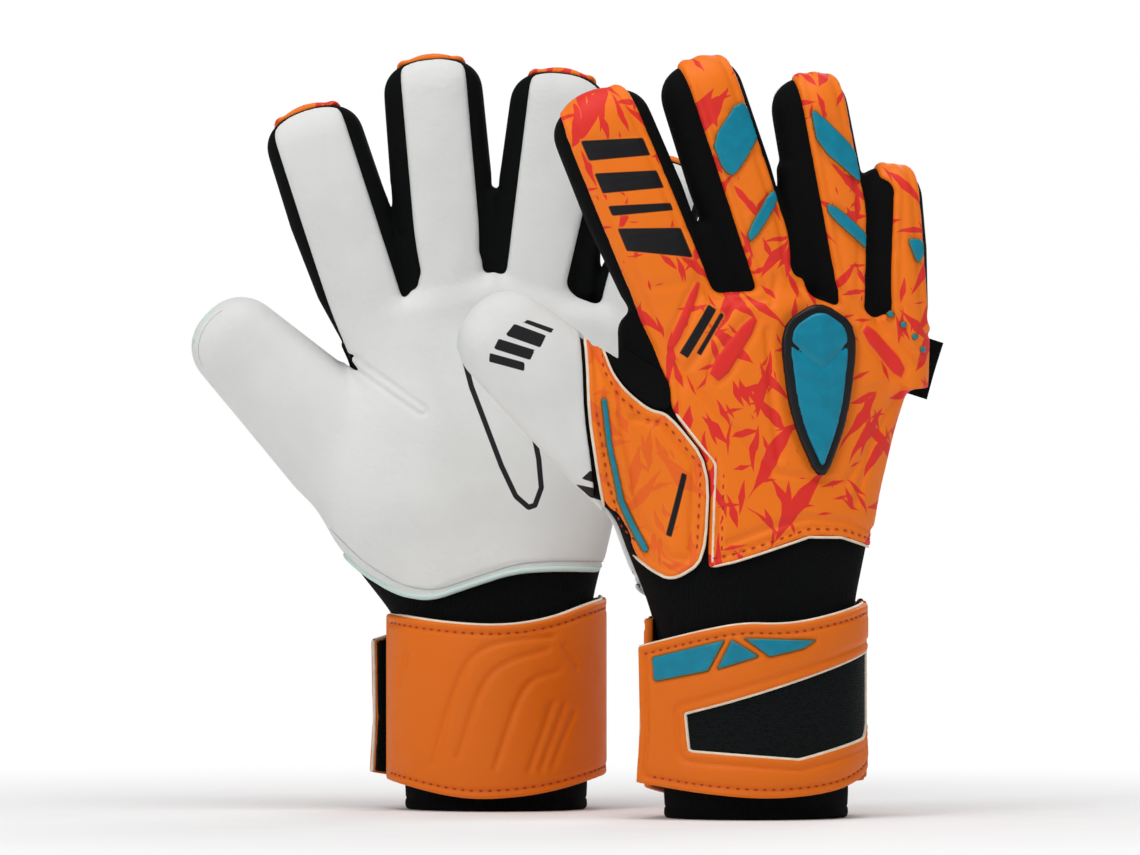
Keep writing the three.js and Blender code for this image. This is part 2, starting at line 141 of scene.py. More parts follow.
def smooth_min(a, b, k):
    """The smaller of two distances, with the corner between them rounded over k."""
    h = np.maximum(k - np.abs(a - b), 0) / k
    return np.minimum(a, b) - h * h * k * 0.25


def smooth_max(a, b, k):
    return -smooth_min(-a, -b, k)


def ramp(value, low, high):
    """0 below low, 1 above high and smooth between."""
    t = np.clip((value - low) / (high - low), 0, 1)
    return t * t * (3 - 2 * t)


def rounded(points, passes=2):
    """A closed outline with its corners cut back."""
    p = np.asarray(points, float)
    for _ in range(passes):
        after = np.roll(p, -1, 0)
        p = np.stack([0.8 * p + 0.2 * after, 0.2 * p + 0.8 * after], 1).reshape(-1, 2)
    return p


def outline_distance(points, x, z):
    """Signed distance to a closed outline, negative inside."""
    p = np.asarray(points, np.float32)
    best = np.full(np.broadcast(x, z).shape, 1e9, np.float32)
    inside = np.zeros(best.shape, bool)
    for a, b in zip(p, np.roll(p, -1, 0)):
        e = b - a
        share = np.clip(((x - a[0]) * e[0] + (z - a[1]) * e[1]) / max(float(e @ e), 1e-9), 0, 1)
        best = np.minimum(best, (x - a[0] - share * e[0]) ** 2 + (z - a[1] - share * e[1]) ** 2)
        crosses = (a[1] > z) != (b[1] > z)
        slope = (b[0] - a[0]) / (b[1] - a[1] if b[1] != a[1] else 1e-9)
        inside ^= crosses & (x < slope * (z - a[1]) + a[0])
    return np.where(inside, -np.sqrt(best), np.sqrt(best))


def nearest_outline(outlines, x, z):
    return np.min([outline_distance(outline, x, z) for outline in outlines], axis=0)


def dip(distance, depth, width):
    """How far a pressed line lowers the surface at a distance from it."""
    return depth * np.exp(-(distance / width) ** 2)


def line_distance(points, x, z):
    """Distance to an open line, and how far along it the nearest point lies."""
    p = np.asarray(points, np.float32)
    best = np.full(np.broadcast(x, z).shape, 1e9, np.float32)
    along = np.zeros(best.shape, np.float32)
    start = 0.0
    for a, b in zip(p[:-1], p[1:]):
        e = b - a
        length = float(np.hypot(*e))
        share = np.clip(((x - a[0]) * e[0] + (z - a[1]) * e[1]) / max(length * length, 1e-9), 0, 1)
        d = (x - a[0] - share * e[0]) ** 2 + (z - a[1] - share * e[1]) ** 2
        nearer = d < best
        best = np.where(nearer, d, best)
        along = np.where(nearer, start + share * length, along)
        start += length
    return np.sqrt(best), along


class Space:
    """A box of distance samples, x by y by z."""

    def __init__(self, low, high, step=STEP):
        self.low = np.array(low, np.float32)
        self.step = step
        counts = np.ceil((np.array(high) - self.low) / step).astype(int) + 1
        x, y, z = (self.low[i] + step * np.arange(counts[i], dtype=np.float32) for i in range(3))
        self.x, self.y, self.z = x[:, None, None], y[None, :, None], z[None, None, :]
        self.shape = tuple(counts)

    def surface(self, field):
        """(points, quads) of the field's zero surface."""
        grid = openvdb.FloatGrid(NEAR)
        grid.copyFromArray(np.ascontiguousarray(np.clip(field, -NEAR, NEAR).astype(np.float32)))
        points, _, quads = grid.convertToPolygons(isovalue=0.0, adaptivity=0.0)
        return points * self.step + self.low, quads


def superellipse_distance(terms, exponent):
    """First-order distance to a superellipsoid. terms are (offset over size, size) along each axis."""
    scaled = [np.abs(u) + 1e-4 for u, _ in terms]
    g = sum(s ** exponent for s in scaled) ** (1 / exponent)
    gradient = sum((s ** (exponent - 1) / size) ** 2 for s, (_, size) in zip(scaled, terms)) ** 0.5
    return (g - 1) / (gradient * g ** (1 - exponent))


def digit_axes(digit, x, z):
    """Offsets across and along a digit."""
    lean = math.radians(digit["lean"])
    dx, dz = x - digit["x"], z - digit["z"]
    return dx * math.cos(lean) + dz * math.sin(lean), -dx * math.sin(lean) + dz * math.cos(lean)


def digit_point(digit, u, t):
    """The x and z of a point given across and along a digit."""
    lean = math.radians(digit["lean"])
    return (digit["x"] + u * math.cos(lean) - t * math.sin(lean),
            digit["z"] + u * math.sin(lean) + t * math.cos(lean))


def digit_distance(space, name, digit):
    thumb = name == "thumb"
    u, t = digit_axes(digit, space.x, space.z)
    share = t / digit["length"]
    half = digit["half"] * np.interp(share, *(THUMB_PROFILE if thumb else FINGER_PROFILE))
    depth = np.interp(share, *(THUMB_DEPTH if thumb else FINGER_DEPTH))
    tip = THUMB_TIP if thumb else FINGER_TIP
    past = np.maximum(t - (digit["length"] - tip), 0)
    centre = 0 if thumb else FINGER_LEAN * np.maximum(t, 0)
    d = superellipse_distance(
        [(u / half, half), ((space.y - centre) / depth, depth), (past / tip, tip)], DIGIT_SQUARENESS)
    root = (THUMB_ROOT if thumb else FINGER_ROOT) * digit["length"]
    return np.maximum(d, root - t)


def hand_distance(space, side):
    z = space.z[0, 0]
    rows = [np.interp(z, *THUMB_SIDE[side])]
    rows += [np.interp(z, HAND_SECTIONS[:, 0], HAND_SECTIONS[:, i]) for i in range(1, 4)]
    kernel = np.hanning(int(SECTION_SMOOTHING / space.step))
    kernel /= kernel.sum()
    pad = len(kernel) // 2
    rows = [np.convolve(np.pad(r, (pad, pad), "edge"), kernel, "same")[pad:-pad] for r in rows]
    x0, x1, y0, y1 = (r[None, None, :].astype(np.float32) for r in rows)
    a, b = (x1 - x0) / 2, (y1 - y0) / 2
    d = superellipse_distance(
        [((space.x - (x0 + x1) / 2) / a, a), ((space.y - (y0 + y1) / 2) / b, b)], HAND_SQUARENESS)
    webs = np.array(WEBS[side])
    top = np.interp(space.x, webs[:, 0], webs[:, 1])
    return smooth_max(d, space.z - top + TOP_CROWN * space.y ** 2, TOP_ROUNDING)


def glove_distance(space, side):
    d = hand_distance(space, side)
    for name, digit in DIGITS[side].items():
        d = smooth_min(d, digit_distance(space, name, digit), DIGIT_BLEND)
    for low, high, half, thick in WEB_FABRIC[side]:
        across, along = line_distance([low, high], space.x, space.z)
        narrow = half * (1 - WEB_TAPER * along / math.dist(low, high))
        web = superellipse_distance([(across / narrow, half), (space.y / thick, thick)], 2.0)
        d = smooth_min(d, web, WEB_BLEND)
    return d


# Placing a glove's points in the row frame

def glove_origin(side):
    low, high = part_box(side + "_cuff_sleeve")
    return (low[0] + high[0]) / 2, (low[1] + high[1]) / 2


ORIGIN = {side: glove_origin(side) for side in SIDES}


def to_row(points, side):
    """Glove points in millimetres as row-frame points in metres."""
    p = np.asarray(points, float)
    x, y = p[:, 0], p[:, 1] * MIRROR[side]
    c, s = math.cos(YAW[side]), math.sin(YAW[side])
    ox, oy = ORIGIN[side]
    return np.stack([ox + (x * c - y * s) / 1000, oy + (x * s + y * c) / 1000, p[:, 2] / 1000], 1)


def add_mesh(name, points, faces, side, material, attributes=None):
    """A mesh object from glove points and polygons, with its rest position in glove centimetres."""
    name = name.replace(" ", "_")
    faces = np.asarray(faces)
    if MIRROR[side] < 0:
        faces = faces[:, ::-1]
    mesh = bpy.data.meshes.new(name)
    mesh.vertices.add(len(points))
    mesh.vertices.foreach_set("co", to_row(points, side).ravel())
    corners = faces.shape[1]
    mesh.loops.add(faces.size)
    mesh.loops.foreach_set("vertex_index", faces.ravel())
    mesh.polygons.add(len(faces))
    mesh.polygons.foreach_set("loop_start", np.arange(0, faces.size, corners))
    mesh.update(calc_edges=True)
    mesh.validate()
    mesh.shade_smooth()
    values = dict(attributes or {})
    for key, value in values.items():
        attribute = mesh.attributes.new(key, "FLOAT", "POINT")
        attribute.data.foreach_set("value", np.asarray(value, np.float32))
    rest = mesh.attributes.new("rest", "FLOAT_VECTOR", "POINT")
    rest.data.foreach_set("vector", (np.asarray(points) / 10).astype(np.float32).ravel())
    mesh.materials.append(material)
    obj = bpy.data.objects.new(name, mesh)
    bpy.context.scene.collection.objects.link(obj)
    return obj


HINGE_START, HINGE_END = 0.5, 16.0  # where a digit's own pieces start past its root, and where it is all its own
REACH, THUMB_REACH = 1.12, 1.35  # how far across a digit owns the surface, over its half width


def owner_of(points, side):
    """For each point, 0 for the hand or 1 to 5 for a digit past its root."""
    owner = np.zeros(len(points), int)
    for i, name in enumerate(DIGIT_NAMES, 1):
        digit = DIGITS[side][name]
        u, t = digit_axes(digit, points[:, 0], points[:, 2])
        reach = digit["half"] * (THUMB_REACH if name == "thumb" else REACH)
        mine = (t > HINGE_START) & (np.abs(u) < reach)
        for other in FINGERS:
            if name == "thumb" or other == name:
                continue
            v, _ = digit_axes(DIGITS[side][other], points[:, 0], points[:, 2])
            mine &= np.abs(u) <= np.abs(v)
        owner[mine] = i
    return owner


def attach(obj, side, body):
    """Makes a piece ride on a body. A digit's piece only has its place baked in."""
    if body in DIGIT_NAMES:
        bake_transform(obj)
    else:
        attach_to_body(obj, side + "_" + body)
    return obj


def split_and_place(name, points, quads, side, material, attributes, owners=range(6)):
    """Cuts a whole-glove surface into its hand and digit pieces. Shading runs on across the cuts."""
    material = MATERIALS[material]
    whole = add_mesh("whole", points, quads, side, material)
    normals = np.empty(len(points) * 3, np.float32)
    whole.data.vertex_normals.foreach_get("vector", normals)
    normals = normals.reshape(-1, 3)
    data = whole.data
    bpy.data.objects.remove(whole)
    bpy.data.meshes.remove(data)
    face_owner = owner_of(points[quads].mean(1), side)
    made = {}
    for k in owners:
        faces = quads[face_owner == k]
        if not len(faces):
            continue
        used, index = np.unique(faces, return_inverse=True)
        part = (("hand",) + DIGIT_NAMES)[k]
        obj = add_mesh(f"{side}.{name}.{part}", points[used], index.reshape(faces.shape), side,
                       material, {key: value[used] for key, value in attributes.items()})
        obj.data.normals_split_custom_set_from_vertices(normals[used])
        made[part] = attach(obj, side, part)
    return made


# Materials. Every one reads "rest", the point's place on the glove in centimetres, and the cuff's cloths
# read "rib", the place on their unrolled strip.

def linear(r, g, b):
    """An sRGB colour, 0 to 255, as linear RGBA."""
    def channel(c):
        c /= 255
        return c / 12.92 if c <= 0.04045 else ((c + 0.055) / 1.055) ** 2.4
    return (channel(r), channel(g), channel(b), 1)


def times(colour, factor):
    """A colour with its light scaled."""
    return tuple(c * factor for c in colour[:3]) + (1,)


ORANGE = linear(243, 120, 20)
BAND_ORANGE = linear(228, 110, 12)
RED = linear(226, 46, 38)
TEAL = linear(0, 132, 160)
TEAL_EDGE = linear(96, 96, 52)
BLACK = linear(7, 8, 9)
INK = linear(14, 14, 18)
LATEX = linear(226, 227, 225)
MINT = linear(205, 226, 220)
CREAM = linear(238, 222, 200)
WHITE = (1, 1, 1, 1)


class Graph:
    """The nodes of a material or a world."""

    def __init__(self, owner):
        owner.use_nodes = True
        self.nodes, self.links = owner.node_tree.nodes, owner.node_tree.links

    def put(self, socket, source):
        """Sets a socket to a number or colour, or links an output to it."""
        if isinstance(source, (int, float, tuple)):
            socket.default_value = source
        else:
            self.links.new(source, socket)

    def node(self, kind, inputs, output=0, **settings):
        """Adds a node with its inputs and settings, and returns one of its outputs."""
        node = self.nodes.new("ShaderNode" + kind)
        for key, setting in settings.items():
            setattr(node, key, setting)
        for key, source in inputs.items():
            self.put(node.inputs[key], source)
        return node.outputs[output]


class Shader(Graph):
    """Builds one node material. Each method adds a node and returns the output to link on."""

    def __init__(self, name):
        self.material = bpy.data.materials.new(name)
        super().__init__(self.material)
        self.surface = self.nodes["Principled BSDF"]
        self.rest = self.node("Attribute", {}, "Vector", attribute_name="rest")

    def value(self, name):
        return self.node("Attribute", {}, "Fac", attribute_name=name)

    def ribs(self):
        return self.node("Attribute", {}, "Vector", attribute_name="rib")

    def math(self, operation, a, b):
        return self.node("Math", {0: a, 1: b}, operation=operation)

    def scaled(self, vector, scale):
        return self.node("Mapping", {"Vector": vector, "Scale": scale})

    def noise(self, vector, scale, detail, output="Fac"):
        return self.node("TexNoise", {"Vector": vector, "Scale": scale, "Detail": detail}, output)

    def cells(self, vector, scale, **settings):
        return self.node("TexVoronoi", {"Vector": vector, "Scale": scale}, "Distance", **settings)

    def wave(self, vector, scale, distortion, direction="X"):
        return self.node("TexWave", {"Vector": vector, "Scale": scale, "Distortion": distortion}, "Fac",
                         bands_direction=direction)

    def step(self, value, low, high, out_low=0.0, out_high=1.0):
        return self.node("MapRange", {"Value": value, "From Min": low, "From Max": high, "To Min": out_low,
                                      "To Max": out_high}, interpolation_type="SMOOTHSTEP")

    def mix(self, share, a, b):
        return self.node("Mix", {"Factor": share, "A": a, "B": b}, "Result", data_type="RGBA")

    def bump(self, height, distance, strength):
        return self.node("Bump", {"Height": height, "Distance": distance, "Strength": strength})

    def done(self, colour, roughness, normal=None, specular=0.5):
        self.put(self.surface.inputs["Base Color"], colour)
        self.put(self.surface.inputs["Roughness"], roughness)
        self.put(self.surface.inputs["Specular IOR Level"], specular)
        if normal is not None:
            self.put(self.surface.inputs["Normal"], normal)
        return self.material


def latex_material(name, tint=LATEX, inked=True):
    s = Shader(name)
    cloud, pores, dents = s.noise(s.rest, 0.3, 2), s.noise(s.rest, 95, 2), s.noise(s.rest, 3.2, 3)
    colour = s.mix(s.step(cloud, 0.35, 0.7), tint, times(tint, 0.93))
    if inked:
        colour = s.mix(s.step(s.value("ink"), 0.12, -0.12), colour, INK)
    height = s.math("ADD", pores, s.math("MULTIPLY", dents, 3.0))
    return s.done(colour, s.step(pores, 0.3, 0.7, 0.62, 0.78), s.bump(height, 0.00022, 0.5), 0.35)


# Layers of thorns printed on the backs: turn, cells per centimetre and how much of a cell each fills
THORNS = [(0.95, 0.75, 0.46), (-0.75, 0.9, 0.42), (1.45, 1.1, 0.38), (0.2, 1.25, 0.32), (-1.2, 1.5, 0.4)]


def thorns(s):
    """Long diamonds lying several ways, bent a little, as a mask."""
    bend = s.noise(s.rest, 0.5, 2, "Color")
    bent = s.node("VectorMath", {0: bend, 1: (0.8, 0.0, 0.8), 2: s.rest}, operation="MULTIPLY_ADD")
    density = s.step(s.noise(s.rest, 0.45, 1), 0.36, 0.58, 0.68, 1.0)
    shards = None
    for turn, scale, size in THORNS:
        turned = s.node("VectorRotate", {"Angle": turn, "Vector": bent}, rotation_type="Y_AXIS")
        distance = s.cells(s.scaled(turned, (0.3, 0.1, 1.5)), scale, distance="MANHATTAN")
        thorn = s.math("SUBTRACT", s.math("MULTIPLY", density, size), distance)
        shards = thorn if shards is None else s.math("MAXIMUM", shards, thorn)
    return s.step(shards, 0.0, 0.02)


def foam_material(name, ground, printed=True):
    """Moulded foam skin, with red thorns where "print" lets them, red bars and dark ink."""
    s = Shader(name)
    colour = ground
    if printed:
        colour = s.mix(s.math("MULTIPLY", thorns(s), s.value("print")), ground, RED)
        colour = s.mix(s.step(s.value("red"), 0.35, -0.35), colour, RED)
        colour = s.mix(s.step(s.value("ink"), 0.22, -0.22), colour, INK)
    grain, soft = s.noise(s.rest, 60, 2), s.noise(s.rest, 1.4, 2)
    height = s.math("ADD", grain, s.math("MULTIPLY", soft, 4.0))
    return s.done(colour, s.step(soft, 0.3, 0.7, 0.46, 0.58), s.bump(height, 0.00012, 0.45), 0.25)


def fabric_material(name, tint=BLACK, scale=7.5):
    """Stretch jersey: small crossed ribs and a little fuzz, with a painted highlight on the ribs' crests."""
    s = Shader(name)
    weave = s.math("MULTIPLY", s.wave(s.rest, scale, 0.6), s.wave(s.rest, scale * 1.15, 0.6, "Z"))
    fuzz, folds = s.noise(s.rest, 30, 3), s.noise(s.scaled(s.rest, (1, 1, 0.4)), 2.2, 3)
    height = s.math("ADD", s.math("MULTIPLY", fuzz, 0.6), s.math("MULTIPLY", folds, 4.0))
    # painted highlight: the crests of the weave are lit up to 2.6 times the tint
    colour = s.mix(s.math("MULTIPLY", weave, 0.8), tint, times(tint, 2.6))
    return s.done(colour, 0.85, s.bump(s.math("ADD", weave, height), 0.0003, 0.7), 0.1)


def knit_material(name):
    """Ribbed elastic knit, ribs standing upright, with a painted highlight on the ribs' crests."""
    s = Shader(name)
    ribs, rows = s.wave(s.ribs(), 3.4, 0.15), s.wave(s.ribs(), 9, 0.3, "Z")
    height = s.math("ADD", s.math("MULTIPLY", rows, 0.5), s.noise(s.rest, 34, 2))
    height = s.math("ADD", s.math("MULTIPLY", ribs, 1.6), height)
    # painted highlight: the ribs' crests are lit up to three times the black
    colour = s.mix(s.math("MULTIPLY", ribs, 0.7), BLACK, times(BLACK, 3))
    return s.done(colour, 0.88, s.bump(height, 0.00045, 0.8), 0.1)


def silicone_material(name, tint, edge=None):
    s = Shader(name)
    soft, fine = s.noise(s.rest, 2.2, 2), s.noise(s.rest, 45, 2)
    colour = s.mix(s.step(soft, 0.3, 0.7), tint, times(tint, 0.86))
    if edge is not None:
        colour = s.mix(s.step(s.value("rim"), -0.75, -0.35), colour, edge)
    return s.done(colour, s.step(fine, 0.3, 0.7, 0.34, 0.46), s.bump(fine, 0.00006, 0.4), 0.3)


def thread_material(name, tint):
    s = Shader(name)
    twist = s.wave(s.rest, 14, 0.5, "DIAGONAL")
    # painted shade: stripes along the twist are darkened to 0.6 of the tint
    return s.done(s.mix(twist, tint, times(tint, 0.6)), 0.6, s.bump(twist, 0.0001, 0.6))


def mesh_material(name):
    """Open spacer mesh: rows of small holes, painted dark as shade."""
    s = Shader(name)
    holes, rows = s.cells(s.ribs(), 7.5), s.wave(s.ribs(), 4.2, 0.2, "Z")
    height = s.math("ADD", s.step(holes, 0.1, 0.5), rows)
    # painted shade: the holes are much darker than the mesh between them
    colour = s.mix(s.step(holes, 0.05, 0.45), linear(4, 5, 6), linear(17, 21, 22))
    return s.done(colour, 0.8, s.bump(height, 0.0004, 0.8), 0.1)


def tape_material(name, tint, pile):
    """Loop or hook tape: rows of small tufts, their tops painted lighter as a highlight."""
    s = Shader(name)
    tufts = s.cells(s.ribs(), pile)
    height = s.math("SUBTRACT", s.noise(s.rest, 40, 2), tufts)
    # painted highlight: the middle of each tuft is 2.2 times as light as the tint
    colour = s.mix(s.step(tufts, 0.1, 0.6), times(tint, 2.2), tint)
    return s.done(colour, 0.85, s.bump(height, 0.0005, 0.9), 0.15)


MATERIALS = {
    "loop_patch": tape_material("loop tape", linear(16, 16, 18), 9),
    "hook_patch": tape_material("hook tape", linear(20, 20, 22), 7),
    "latex": latex_material("latex"),
    "mint_edge": latex_material("latex edge", MINT, inked=False),
    "print": foam_material("printed foam", ORANGE),
    "foam": foam_material("plain foam", BAND_ORANGE, printed=False),
    "fabric": fabric_material("gusset fabric"),
    "knit": knit_material("ribbed knit"),
    "mesh": mesh_material("window mesh"),
    "emblem": silicone_material("black silicone", linear(14, 16, 20)),
    "teal": silicone_material("teal silicone", TEAL),
    "patch": silicone_material("teal silicone with a rim", TEAL, TEAL_EDGE),
    "cream": silicone_material("cream cut edge", CREAM),
    "red_thread": thread_material("red thread", linear(196, 52, 20)),
    "pale_thread": thread_material("pale thread", linear(196, 206, 204)),
    "label": fabric_material("woven label", linear(10, 10, 12), 11),
}


# Outlines on the back of the hand, x and z in millimetres

THUMB_BASE = [(-67.7, 180.5), (-61.2, 178.6), (-58.7, 165.5), (-53.5, 158), (-44.5, 150.8), (-37.2, 149.2),
              (-22.6, 130.5), (-25.2, 95.5), (-36.7, 88), (-44.5, 93), (-54.8, 105.5), (-62.5, 123),
              (-67.7, 149.3)]
THUMB_SKIN = [(-140, 60), (-48, 80), (-44.5, 91.5), (-55.8, 104.5), (-63.5, 122.5), (-68.7, 149.3),
              (-68.9, 181.5), (-61.2, 180.2), (-54, 177), (-58, 190), (-66, 215), (-140, 240)]
GAP_INSERT = [(-60.6, 178.3), (-52, 174.2), (-45, 169.2), (-39.5, 165.5), (-35.9, 160), (-36.1, 150.2),
              (-44.5, 151.8), (-52.8, 159), (-57.9, 166)]
BACK_LOW = [(-35.8, 150), (-21.4, 130.8), (-24.0, 93.6), (-21.9, 92.4), (-4, 98), (14.8, 104.5), (28, 104),
            (43.8, 99.3), (56, 97), (60, 130), (70, 158), (74, 190)]
BACK_THUMB_EDGE = [(-49, 194), (-44, 182), (-40, 171), (-36.8, 163)]
# The palm: its lower edge, and its edge up the gap between thumb and index finger
PALM_LOW = [(-126, 150), (-104, 132), (-84, 122), (-73.6, 113.6), (-66, 105), (-51.5, 90.6), (-37, 82),
            (-24.5, 80), (-10, 85), (6.7, 90.4), (23.4, 91.4), (50, 90.4), (70, 130), (76, 190)]
PALM_CROTCH = [(-51, 172), (-49.6, 166.5), (-53.6, 167), (-57.2, 170.8), (-67, 182), (-75, 193),
               (-98, 228), (-134, 228)]
# The side of that gap where the latex runs on over the thumb
THUMB_SIDE_OF_GAP = [(-51.5, 165), (-53.6, 167), (-57.2, 170.8), (-67, 182), (-75, 193), (-140, 240),
                     (-140, 60), (-60, 80), (-54, 150)]

# The span of each finger's moulded back, across the finger, and of its latex front
STRIP_ROOT, STRIP_BLEND = -26, 3  # how far below the finger's root they run, and their rounding there
BACK_SPAN = {
    "left": {name: (-13.5, 13.5) for name in FINGERS},
    "right": {"index": (-16.2, 13.0), "middle": (-6.3, 12.8), "ring": (-5.2, 12.2), "pinky": (-4.4, 10.4)},
}
BACK_SPAN["left"]["pinky"] = (-12, 12)
FRONT_SPAN = {"index": (-14.4, 13), "middle": (-11.8, 12.9), "ring": (-12, 15), "pinky": (-12, 12)}
# Where fabric shows between the fingers' roots: lowest point, upper point and half width
WEB_SLITS = {
    "left": [((-32.5, 203.5), (-40.6, 240), 4.0), ((-1, 212), (1, 245), 5.2),
             ((31.5, 199.5), (41, 240), 4.6)],
    "right": [((-13.4, 203), (-23, 232), 5.7), ((15.2, 204.5), (14, 236), 4.4),
              ((43.4, 190.5), (45.5, 232), 4.8)],
}

EMBLEM = [(4, 182), (20, 192), (35, 182), (31, 148), (20, 121.5), (8, 148)]
RED_BARS = [
    [(-27.1, 199.3), (-23.2, 198), (-34.2, 171.8), (-38.7, 173.6)],
    [(-6.5, 186.8), (-2, 183.6), (-17.4, 159.3), (-23.9, 165.5)],
    [(39.3, 184.3), (54.7, 168), (52.2, 160.5), (35.4, 179.3)],
]
GROOVES = [
    [(-34, 168), (-19, 150), (2, 128), (30, 124), (41, 138), (53, 160)],
    [(-16, 101.8), (-2, 107), (14.8, 111), (31, 109.5), (44.4, 105.5)],
    [(0, 180), (2, 150), (4, 133)],
    [(44, 150), (38, 128), (34, 116)],
    [(-20, 200), (-12, 190), (-30, 166)],
    [(28, 196), (42, 186), (60, 168)],
    [(-50, 186), (-32, 160)],
    [(4, 200), (2, 190)],
]
THUMB_GROOVES = [
    [(-56, 149), (-50, 124), (-46, 108), (-38, 97), (-31, 96)],
    [(-51, 148), (-40, 146), (-28, 131), (-30, 98)],
]
THUMB_INLAY = [(-61.9, 154.3), (-60, 138), (-54.8, 118), (-45.5, 99.6)]

# Patches across a finger's back: (share across the moulded back, distance along the finger)
PATCHES = {
    "middle": [[(0.86, 66), (1.1, 56), (1.1, 51), (0.24, 38), (0.06, 42), (0.02, 54)],
               [(0.9, 30.5), (1.06, 26), (0.14, 12.5), (0.1, 17.5)]],
    "ring": [[(0.1, 68), (0.26, 67), (1.04, 49), (1.04, 35), (0.1, 54)],
             [(0.06, 33), (0.3, 31), (0.96, 17), (0.96, 9), (0.06, 28)]],
    "pinky": [[(0.45, 31), (0.95, 30), (0.95, 23.5), (0.72, 20)]],
}
INDEX_INK = [[(0.14, 66), (0.9, 58), (0.9, 51), (0.14, 58)],
             [(0.14, 53), (0.9, 45), (0.9, 38), (0.14, 45)],
             [(0.14, 40), (0.9, 32), (0.9, 29), (0.14, 36)],
             [(0.14, 31), (0.9, 22), (0.9, 10), (0.14, 22)]]
INK_BARS = [[(-22, 190), (-19, 188), (-30, 170), (-33, 172)],
            [(-17.6, 187), (-16, 186), (-25, 171), (-26.6, 172)]]
THUMB_BASE_MARK = [(-33, 128), (-31, 127), (-37, 104), (-39, 105)]
BARE = 9  # a distance from any mark at which nothing is printed
THUMB_DART = [(-54, 170), (-49, 166), (-38, 158), (-28, 151)]
PALM_BLADE = [(-13, 170), (-9, 178), (5, 176), (9, 168), (18, 124), (14, 113), (6, 120)]
# Slanted bars on the thumb: across and along it
THUMB_INK = [[(-12, 48), (-9.5, 50), (-4, 38), (-6.5, 36)], [(-7.5, 50), (-3.5, 51), (2, 38), (-2, 37)],
             [(-1, 50), (4.5, 50), (9, 38), (4, 37)], [(7, 48), (9, 47), (13, 37), (11, 37)],
             [(-27, -9), (-24, -8), (-19, -18), (-22, -20)], [(-22, -7), (-18, -7), (-14, -16), (-18, -17)]]
DOT_RADIUS = 1.55
DOTS = [(48, 186.5), (52.8, 182.6), (57.3, 178.2), (60.8, 173.4)]


def spread(span, outline, digit):
    """An outline given as shares of a finger's moulded back, as x and z."""
    low, high = span
    return [digit_point(digit, low + v * (high - low), t) for v, t in outline]


def strip_distance(x, z, digit, span):
    """Signed distance to a long strip on a finger, rounded at the tip."""
    u, t = digit_axes(digit, x, z)
    low, high = span
    sides = np.abs(u - (low + high) / 2) - (high - low) / 2
    return np.maximum(smooth_max(sides, t - (digit["length"] + 6), 11), STRIP_ROOT - t)


